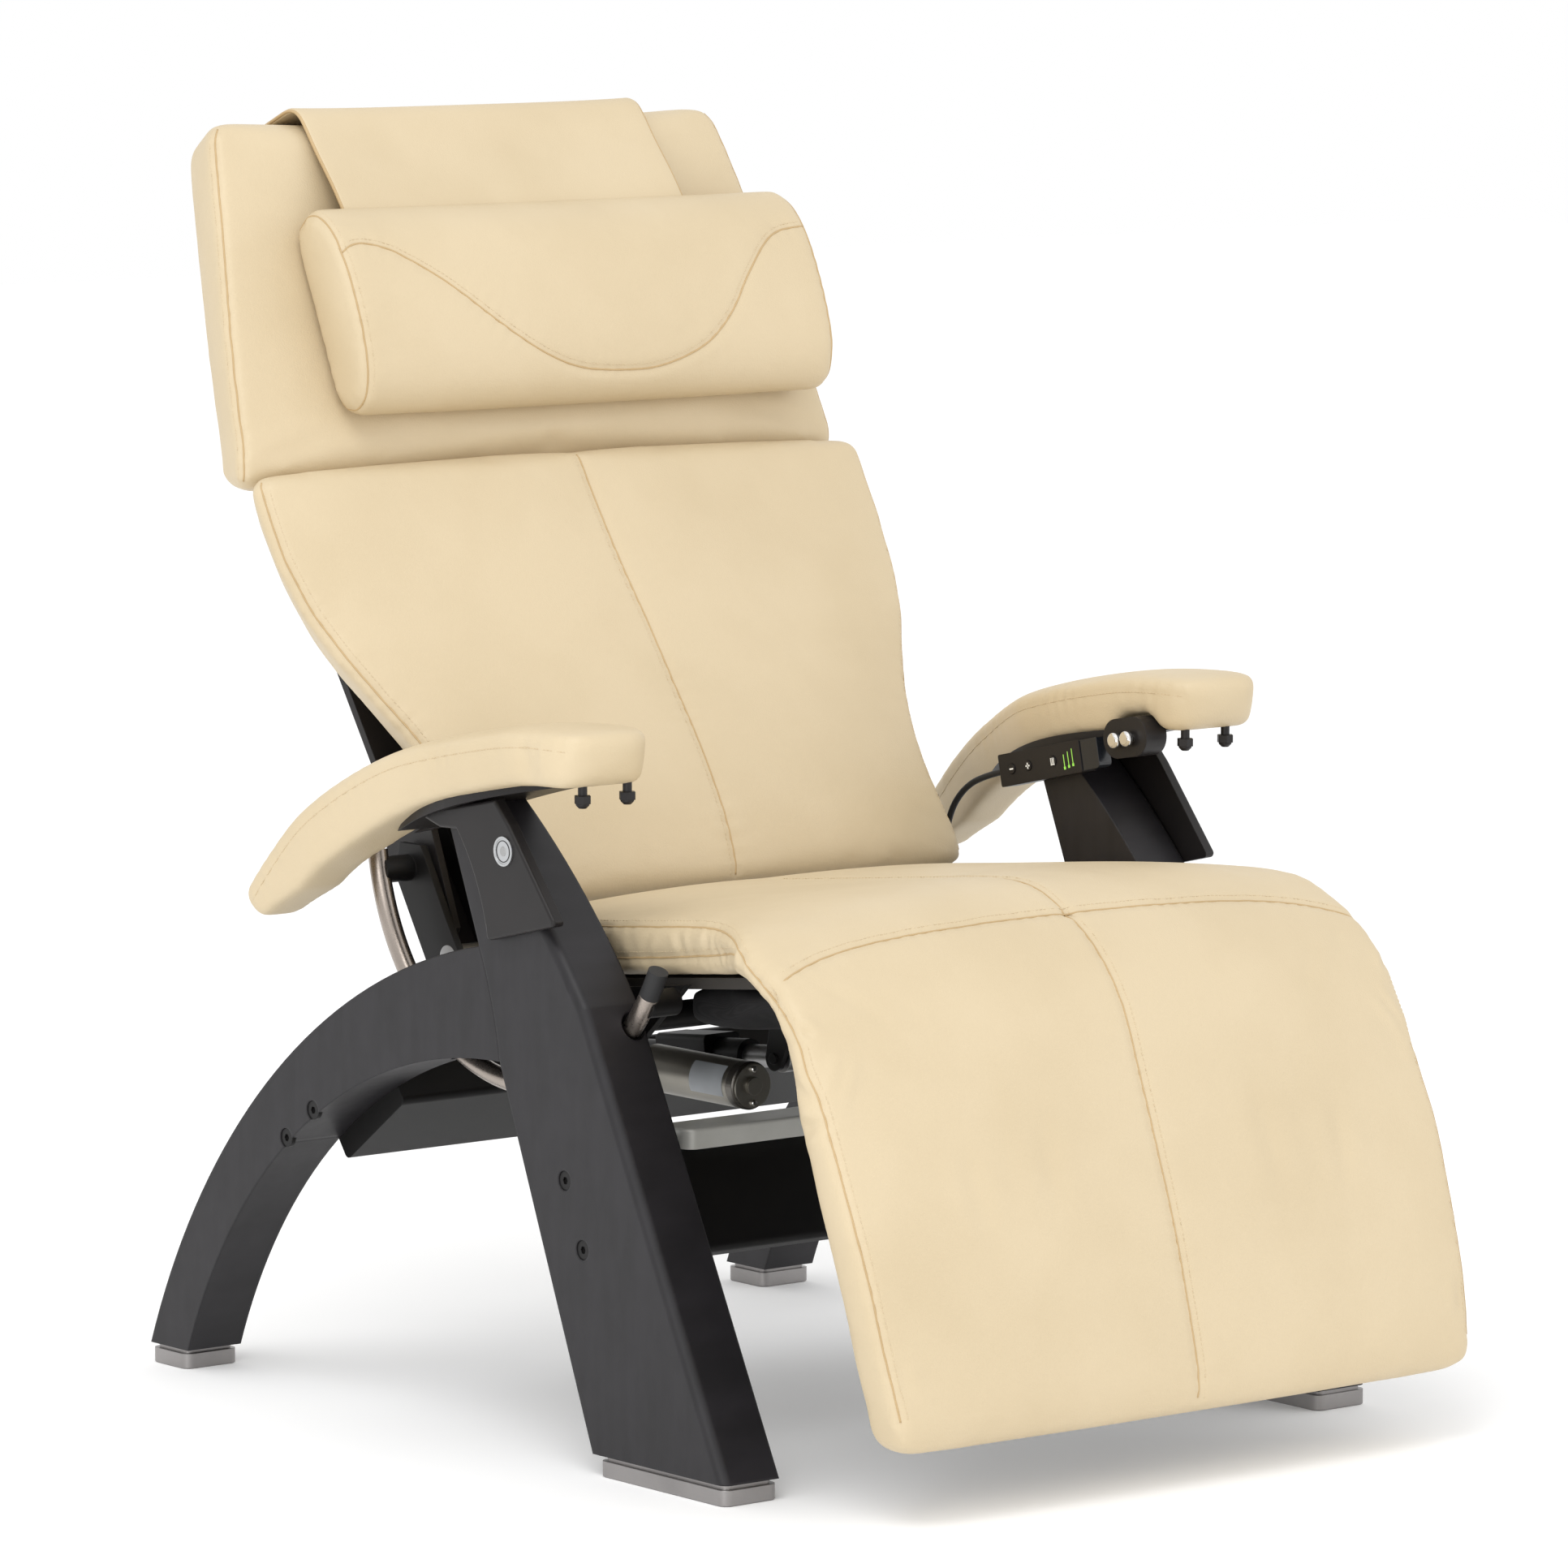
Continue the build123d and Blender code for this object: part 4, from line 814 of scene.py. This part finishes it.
def behind_head(p):
    """How far points lie behind the head pad's face."""
    plane = np.array((0, math.cos(HEAD_LEAN), -math.sin(HEAD_LEAN)))
    return (p - np.array((0, *HEAD_FOOT))) @ plane


def head():
    """Head pad, narrowing towards its top."""
    line = [head_at(u, d) for u, d in ((-0.024, 0.010), (0.0, 0.002), (0.03, -0.001), (0.09, 0),
                                       (0.17, 0), (0.26, 0), (0.334, 0.001))]
    half = [(0, 0.346), (0.2, 0.338), (0.5, 0.322), (0.7, 0.310), (0.86, 0.300), (0.94, 0.294),
            (1, 0.287)]
    crown = [(0, 0.012), (0.3, 0.010), (0.7, 0.003), (1, 0.001)]
    edge = 0.011
    pad = Pad(line, HEAD_THICK, half, crown, edge, taper=0.012, ends=(0.020, 0.018), steps=80,
              inward=-1.0)
    obj = pad.build("head_leather", CREAM)
    t = np.linspace(0.01, 0.985, 120)
    seams = [pad.place(t, sign * (track(t, half) - PIPING * edge), track(t, crown) + PIPING * edge)
             for sign in (-1, 1)]

    def hold(p):
        return pad.held(p, HEAD_THICK, 0.008, 120)

    rows = [(seams[0], 0.006, (-1, 0.5, 0)), (seams[1], 0.006, (1, 0.5, 0))]
    upholster(obj, "head", seams, rows, on_back, cap=0.007, hold=hold)
    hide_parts("head_cushion")


def hand_end(half, share):
    """Half widths that turn a squarish corner over the first share of a pad's length."""
    corner = [(part * share, (0.46 + 0.54 * math.sqrt(1 - (1 - part) ** 2)) * half[0][1])
              for part in (0.0, 0.03, 0.08, 0.18, 0.32, 0.5, 0.75, 1.0)]
    return corner + [k for k in half if k[0] > share]


# Slot round the recline buttons' housing: middle (y, z), half length, half height, tilt
SLOT = ((-0.1295, 0.583), 0.031, 0.0195, math.radians(10))


def lift_over_slot(obj):
    """Raises the pad's lower edge over the switch housing; returns what is near the slot."""
    (y, z), half_long, half_high, tilt = SLOT
    p = coords(obj)
    u = (p[:, 1] - y) * math.cos(tilt) - (p[:, 2] - z) * math.sin(tilt)
    v = (p[:, 1] - y) * math.sin(tilt) + (p[:, 2] - z) * math.cos(tilt)
    bend = np.clip(np.abs(u) - (half_long - half_high), 0, half_high)
    top = np.sqrt(half_high**2 - bend**2) + 0.0008
    inside = (np.abs(u) < half_long) & (p[:, 0] < 0.321) & (v < top)
    v = np.where(inside, top, v)
    p[:, 1] = y + u * math.cos(tilt) + v * math.sin(tilt)
    p[:, 2] = z - u * math.sin(tilt) + v * math.cos(tilt)
    set_coords(obj, p)


def arm(sign, name, cad_node):
    """Arm pad: a wide flat hand end that turns down, narrows and swings out towards the elbow."""
    line = [(-0.2065, 0.6385), (-0.190, 0.6410), (-0.165, 0.6420), (-0.12, 0.6400), (-0.078, 0.6345),
            (0.0, 0.620), (0.064, 0.6035), (0.13, 0.5745), (0.186, 0.5395), (0.232, 0.4975),
            (0.2695, 0.457)]
    half = hand_end([(0, 0.0500), (0.3, 0.0490), (0.5, 0.0435), (0.64, 0.0350), (0.8, 0.030),
                     (1, 0.025)], 0.040 / 0.524)
    middle = [(0, 0.3475), (0.25, 0.348), (0.38, 0.3505), (0.5, 0.3565), (0.64, 0.369), (0.78, 0.379),
              (1, 0.386)]
    middle = [(t, sign * x) for t, x in middle]
    thick = [(0, 0.042), (0.04, 0.050), (0.2, 0.051), (0.4, 0.054), (0.55, 0.059), (0.7, 0.061),
             (0.86, 0.057), (1, 0.034)]
    crown = [(0, 0.003), (0.2, 0.005), (0.6, 0.008), (1, 0.007)]
    pad = Pad(line, thick, half, crown, [(0, 0.010), (1, 0.011)],
              taper=0.002, rear_edge=0.007, ends=(0.013, 0.016), steps=120, middle=middle, inward=-1.0)
    obj = pad.build(name, CREAM)
    if sign > 0:
        lift_over_slot(obj)
    t = np.linspace(0.03, 0.975, 200)
    seams = [pad.place(t, edge * (track(t, half) - 0.0006), 0.0165 + 0.003 * t) for edge in (-1, 1)]

    def mount(piece):
        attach(piece, "base")

    def hold(p):
        kept = pad.held(p, thick, 0.006)
        if sign > 0:
            near = np.hypot(p[:, 1] - SLOT[0][0], p[:, 2] - SLOT[0][1]) < 0.040
            kept = np.where(near & (p[:, 0] < 0.325), 1.0, kept)
        return kept

    dimple = ((-0.397, -0.146, 0.590), (-0.397, -0.140, 0.634), 0.0022, 0.012)
    folds = [dimple] if sign < 0 else []
    rows = [(seams[0], 0.0, (0, 0, -1)), (seams[1], 0.0, (0, 0, -1))]
    # The arm seams' thin cords carry the darker leather as painted seam shade.
    upholster(obj, name, seams, rows, mount, voxel=0.0042, cap=0.004, hold=hold, depth=0.0007,
              cord=0.0004, looks=ARM_SEAM_SHADE, folds=folds)
    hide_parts(cad_node)


PILLOW_X = (-0.240, 0.310)
PILLOW_LOOP = [(0.048, -0.001), (0.125, -0.001), (0.210, -0.001), (0.2235, -0.014), (0.228, -0.034),
               (0.212, -0.055), (0.180, -0.0685), (0.125, -0.0725), (0.072, -0.067), (0.043, -0.0535),
               (0.0305, -0.034), (0.034, -0.014)]


def pillow():
    """Neck roll with flat sewn ends and a curved seam across its front."""
    closed = PILLOW_LOOP + PILLOW_LOOP[:1]
    loop = curve_through(closed, 73)[:-1]
    centre = loop.mean(0)
    left, right = PILLOW_X
    soft = 0.010
    rings = []
    for x in np.concatenate([np.linspace(left, left + soft, 5)[:-1],
                             np.linspace(left + soft, right - soft, 60),
                             np.linspace(right - soft, right, 5)[1:]]):
        reach = min(x - left, right - x)
        inset = 0 if reach > soft else soft - math.sqrt(soft**2 - (soft - reach) ** 2)
        belly = 1 - 0.10 * abs((x - 0.035) / 0.275) ** 3
        shape = centre + (loop - centre) * (1 - inset / 0.06) * (1, belly)
        rings.append([(x, *head_at(up, depth)) for up, depth in shape])
    obj = loft("pillow_leather", rings, CREAM)

    def across(x, ups):
        """Points on the front of the roll."""
        front = curve_through(PILLOW_LOOP[3:], 200)
        depth = np.interp(ups, front[::-1, 0], front[::-1, 1])
        return np.array([(a, *head_at(u, d)) for a, u, d in zip(x, ups, depth)])

    seams = []
    for x in (left + 0.004, right - 0.004):
        ring = centre + (curve_through(closed, 120) - centre) * 0.96
        seams.append(np.array([(x, *head_at(u, d)) for u, d in ring]))
    swoop = [(-0.236, 0.176), (-0.212, 0.183), (-0.178, 0.172), (-0.128, 0.137), (-0.088, 0.103),
             (-0.043, 0.072), (0.0, 0.055), (0.05, 0.050), (0.10, 0.052), (0.15, 0.068), (0.186, 0.096),
             (0.214, 0.130), (0.243, 0.160), (0.268, 0.176), (0.306, 0.182)]
    bow = curve_through(swoop, 160)
    seams.append(across(bow[:, 0], bow[:, 1]))

    def mount(piece):
        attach(piece, "pillow")

    def hold(p):
        return np.clip(1.5 + behind_head(p) / 0.006, 0, 1)

    rows = [(seams[0], 0.006, (1, 0, 0)), (seams[2], 0.005, (0, 0, 1))]
    upholster(obj, "pillow", seams, rows, mount, voxel=0.005, cap=0.007, hold=hold, depth=0.0016)
    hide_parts("head_pillow")


STRAP_X = (-0.197, 0.193)
STRAP_THIN = 0.0046
STRAP_CORD = 0.0016


def band(name, path, looks, bow=0.0):
    """Padded leather band along a side-view path: rounded edges, slightly crowned."""
    line = curve_through(path, 90)
    along = np.gradient(line, axis=0)
    along /= np.linalg.norm(along, axis=1)[:, None]
    out = np.stack([-along[:, 1], along[:, 0]], 1)
    left, right = STRAP_X
    a = np.linspace(math.pi / 2, 3 * math.pi / 2, 7)
    r = STRAP_THIN / 2
    flat = np.linspace(left + r, right - r, 40)
    top = [(x, r) for x in flat[::-1]]
    rim_left = [(left + r + r * math.cos(t), r * math.sin(t)) for t in a[1:-1]]
    bottom = [(x, -r) for x in flat]
    rim_right = [(right - r - r * math.cos(t), -r * math.sin(t)) for t in a[1:-1]]
    outline = np.array(top + rim_left + bottom + rim_right)
    middle, wide = (left + right) / 2, (right - left) / 2
    verts = []
    for i, (spot, side) in enumerate(zip(line, out)):
        share = i / (len(line) - 1)
        lift = bow * math.sin(math.pi * share) * (np.abs(outline[:, 0] - middle) / wide) ** 4
        place = spot + side * (outline[:, 1] + lift)[:, None]
        verts.append(np.column_stack([outline[:, 0], place]))
    obj = loft(name, verts, looks)
    edges = [np.array([v[k] for v in verts]) for k in (len(top) + 2, 2 * len(flat) + len(rim_left) + 2)]
    return smooth_shade(obj), edges


def strap():
    """The pillow hangs on a strap that lies over the head cushion, weighted behind it."""
    path = [head_at(u, d) for u, d in ((0.221, -0.034), (0.250, -0.0265), (0.290, -0.0135),
                                       (0.316, -0.0065), (0.330, -0.001), (0.3375, 0.010),
                                       (0.3385, 0.03), (0.3385, 0.07), (0.3375, 0.094),
                                       (0.330, 0.1035), (0.305, 0.1045))]
    front, edges = band("strap_leather", path, CREAM, bow=0.0018)
    tree = surface(front)
    row = [(edges[0], 0.006, (1, 0, 0)), (edges[1], 0.006, (-1, 0, 0))]
    pieces = [front, welts("strap_welts", tree, edges, STRAP_CORD, 0.0),
              stitches("strap_stitches", tree, row)]
    for piece in pieces:
        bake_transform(piece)
    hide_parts("strap_front", "strap_top")
    tail = [head_at(u, d) for u, d in ((0.310, 0.1035), (0.285, 0.1045), (0.255, 0.1045),
                                       (0.225, 0.1055))]
    rear_flap, edges = band("strap_tail", tail, CREAM)
    tree = surface(rear_flap)
    pieces = [rear_flap, welts("strap_tail_welts", tree, edges, STRAP_CORD, 0.0)]
    for piece in pieces:
        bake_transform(piece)


POUCH_FRONT = 0.1015


def pouch():
    """Weighted leather pouch on the strap's rear end."""
    loop = [(0.113, POUCH_FRONT), (0.170, POUCH_FRONT), (0.238, POUCH_FRONT), (0.240, 0.1065),
            (0.205, 0.1215), (0.160, 0.1235), (0.122, 0.1225), (0.111, 0.1125)]
    closed = curve_through(loop + loop[:1], 61)[:-1]
    centre = closed.mean(0)
    left, right = STRAP_X
    rings = []
    for x in np.linspace(left, right, 50):
        reach = min(x - left, right - x)
        inset = 0 if reach > 0.008 else 1 - math.sqrt(1 - (1 - reach / 0.008) ** 2)
        shape = centre + (closed - centre) * (1 - 0.25 * inset)
        rings.append([(x, *head_at(up, depth)) for up, depth in shape])
    obj = loft("pouch_leather", rings, CREAM)

    def mount(piece):
        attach(piece, "counterweight")

    seams = [np.array([(x, *head_at(*spot)) for x in np.linspace(left + 0.01, right - 0.01, 60)])
             for spot in ((0.132, 0.1225), (0.195, 0.122))]

    def hold(p):
        return np.clip(1.5 - (behind_head(p) - POUCH_FRONT) / 0.006, 0, 1)

    upholster(obj, "pouch", seams, [(seams[1], 0.004, (0, 0, 1))], mount, voxel=0.004, cap=0.003,
              hold=hold, depth=0.001)
    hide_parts("counterweight")


def seat_lining():
    """Black cloth stretched under the front of the seat, sagging a little between its edges."""
    source = nodes["under_seat_cover"]
    obj = bpy.data.objects.new("seat_lining", source.data.copy())
    obj.data.materials.clear()
    obj.data.materials.append(LINING)
    scene.collection.objects.link(obj)
    remesh(obj, 0.006)
    relax(obj, 4)
    lowest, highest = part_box("under_seat_cover")
    edge_top = np.array([(x, lowest[1] + 0.006, highest[2] - 0.004)
                         for x in np.linspace(lowest[0], highest[0], 60)])
    swell(obj, [edge_top], 2.0, 0.006)
    subdivide(obj)
    for i in range(9):
        x = -0.22 + i * 0.055
        fold(obj, (x, -0.31, 0.412), (x + 0.03 * math.sin(i * 2.1), -0.185, 0.384), 0.0022, 0.005)
    smooth_shade(obj)
    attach(obj, "seat")
    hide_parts("under_seat_cover")


seat_and_leg()
back()
head()
arm(1, "left_arm_leather", "left_arm_pad")
arm(-1, "right_arm_leather", "right_arm_pad")
pillow()
strap()
pouch()
seat_lining()


# ---------------------------------------------------------------- small details
BOX_MIDDLE = np.array((-0.010, 0.5485))
BOX_TILT = math.radians(-12.4)
BOX_FACE = 0.290
BAR_PITCH = 0.0061


def box_at(along, up=0.0):
    """Side-view point in the keypad box's own tilted frame."""
    return BOX_MIDDLE + (along * math.cos(BOX_TILT) - up * math.sin(BOX_TILT),
                         along * math.sin(BOX_TILT) + up * math.cos(BOX_TILT))


def decal(name, face, shapes, looks, body):
    """Printed marks on the keypad box, as thin rectangles (along, up, long, high)."""
    verts, faces = [], []
    thin = 0.00012
    for along, up, long, high in shapes:
        base = len(verts)
        for x in (face - thin, face + 0.0002):
            for a, b in ((-1, -1), (1, -1), (1, 1), (-1, 1)):
                verts.append((x, *box_at(along + a * long / 2, up + b * high / 2)))
        faces += [tuple(base + i for i in f) for f in ((0, 1, 2, 3), (7, 6, 5, 4), (0, 4, 5, 1),
                                                       (1, 5, 6, 2), (2, 6, 7, 3), (3, 7, 4, 0))]
    made = new_object(name, verts, faces, looks)
    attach(made, body)


def round_bar(name, start, end, radius, looks, body, soft=0.0006):
    """Closed round bar with a small chamfer at its far end."""
    sides = 48
    a, b = Vector(start), Vector(end)
    way = (b - a).normalized()
    up = way.orthogonal().normalized()
    other = way.cross(up)
    verts = []
    for spot, reach in ((a, radius), (b - way * soft, radius), (b, radius - soft)):
        for k in range(sides):
            turn = 2 * math.pi * k / sides
            verts.append(spot + reach * (math.cos(turn) * up + math.sin(turn) * other))
    made = new_object(name, verts, skin(3, sides), looks)
    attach(made, body)


def keypad_marks():
    """Minus, plus, heat mark and three level lights; no lettering."""
    key_face = BOX_FACE - 0.0009
    decal("minus_mark", key_face, [(0.040, 0, 0.0052, 0.0014)], WHITE_INK, "key_minus")
    decal("plus_mark", key_face, [(0.0165, 0, 0.0056, 0.0015), (0.0165, 0, 0.0015, 0.0056)],
          WHITE_INK, "key_plus")
    waves = [(-0.019 + shift, 0, 0.0010, 0.0058) for shift in (-0.0019, 0, 0.0019)]
    decal("heat_mark", key_face, waves + [(-0.019, -0.0034, 0.0054, 0.0009)], WHITE_INK, "key_heat")
    sticks = []
    for i in range(3):
        along = -0.0345 - i * BAR_PITCH
        low, high = -0.0085 + 0.0008 * i, 0.0040 + 0.0020 * i
        sticks.append((along, (low + high) / 2, 0.0009, high - low))
        sticks.append((along, low, 0.0026, 0.0026))
    decal("level_lights", BOX_FACE, sticks, GREEN_INK, "base")


def motor_trim():
    """Blank label, darker end cap and two screws on the drive motor."""
    x, z, radius = -0.164, 0.313, 0.021
    verts, faces = [], []
    turns = np.linspace(math.radians(152), math.radians(232), 20)
    reach = radius + 0.00025
    for turn in turns:
        for y in (-0.096, -0.142):
            verts.append((x + reach * math.cos(turn), y, z - reach * math.sin(turn)))
    for i in range(len(turns) - 1):
        faces.append((2 * i, 2 * i + 1, 2 * i + 3, 2 * i + 2))
    label = smooth_shade(new_object("motor_label", verts, faces, LABEL))
    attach(label, "recline_actuator")
    round_bar("motor_cap_rim", (x, -0.1475, z), (x, -0.1572, z), radius + 0.0004, CAP,
              "recline_actuator", 0.0012)
    for side in (-1, 1):
        level = z + side * 0.0150
        round_bar(f"motor_screw_{side + 1}", (x, -0.1595, level), (x, -0.1626, level), 0.0028, CHROME,
                  "recline_actuator")


def badge_rings():
    """Plain dark ring and centre dot on each badge."""
    y, z = -0.084, 0.5285
    ring_radius = 0.0092
    for sign, side in ((1, "left"), (-1, "right")):
        ring = [(sign * 0.3781, y + ring_radius * math.cos(a), z + ring_radius * math.sin(a))
                for a in np.linspace(0, 2 * math.pi, 61)]
        verts, faces = tube_mesh(ring, 0.0004, 6)
        made = smooth_shade(new_object(f"{side}_badge_ring", verts, faces, DARK))
        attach(made, "base")
        round_bar(f"{side}_badge_dot", (sign * 0.3775, y, z), (sign * 0.3784, y, z), 0.0042, STEEL,
                  "base", 0.0003)


def knob_tips():
    """Rounded screw tips under the arm knobs."""
    for sign, side in ((1, "left"), (-1, "right")):
        for i, x in enumerate((0.317, 0.365)):
            round_bar(f"{side}_knob_tip_{i}", (sign * x, -0.180, 0.5785), (sign * x, -0.180, 0.5740),
                      0.0058, DARK, "base", 0.0026)


keypad_marks()
motor_trim()
badge_rings()
knob_tips()


# ---------------------------------------------------------------- stage
def stage():
    floor_looks, tree, shader = material("floor_looks", (0.95, 0.95, 0.95), 0.9)
    shader.inputs["Specular IOR Level"].default_value = 0.1
    shader.inputs["Emission Color"].default_value = (1, 1, 1, 1)
    shader.inputs["Emission Strength"].default_value = 0.12
    size = 14
    floor = new_object("floor", [(-size, -size, 0), (size, -size, 0), (size, size, 0), (-size, size, 0)],
                       [(0, 1, 2, 3)], floor_looks)


def area(name, at, target, size, power):
    data = bpy.data.lights.new(name, "AREA")
    data.size = size
    data.energy = power
    made = bpy.data.objects.new(name, data)
    made.location = at
    made.rotation_mode = "QUATERNION"
    made.rotation_quaternion = (Vector(target) - Vector(at)).to_track_quat("-Z", "Y")
    scene.collection.objects.link(made)


def lights():
    world = bpy.data.worlds.new("studio")
    world.use_nodes = True
    world.node_tree.nodes["Background"].inputs["Color"].default_value = (1, 1, 1, 1)
    world.node_tree.nodes["Background"].inputs["Strength"].default_value = 1.0
    scene.world = world
    middle = (0, 0, 0.5)
    area("key", (-2.0, -1.5, 4.2), middle, 2.2, 56)
    area("fill", (2.6, -3.0, 1.8), middle, 2.4, 15)
    area("side", (-3.6, -2.1, 0.9), middle, 1.8, 24)


stage()
lights()
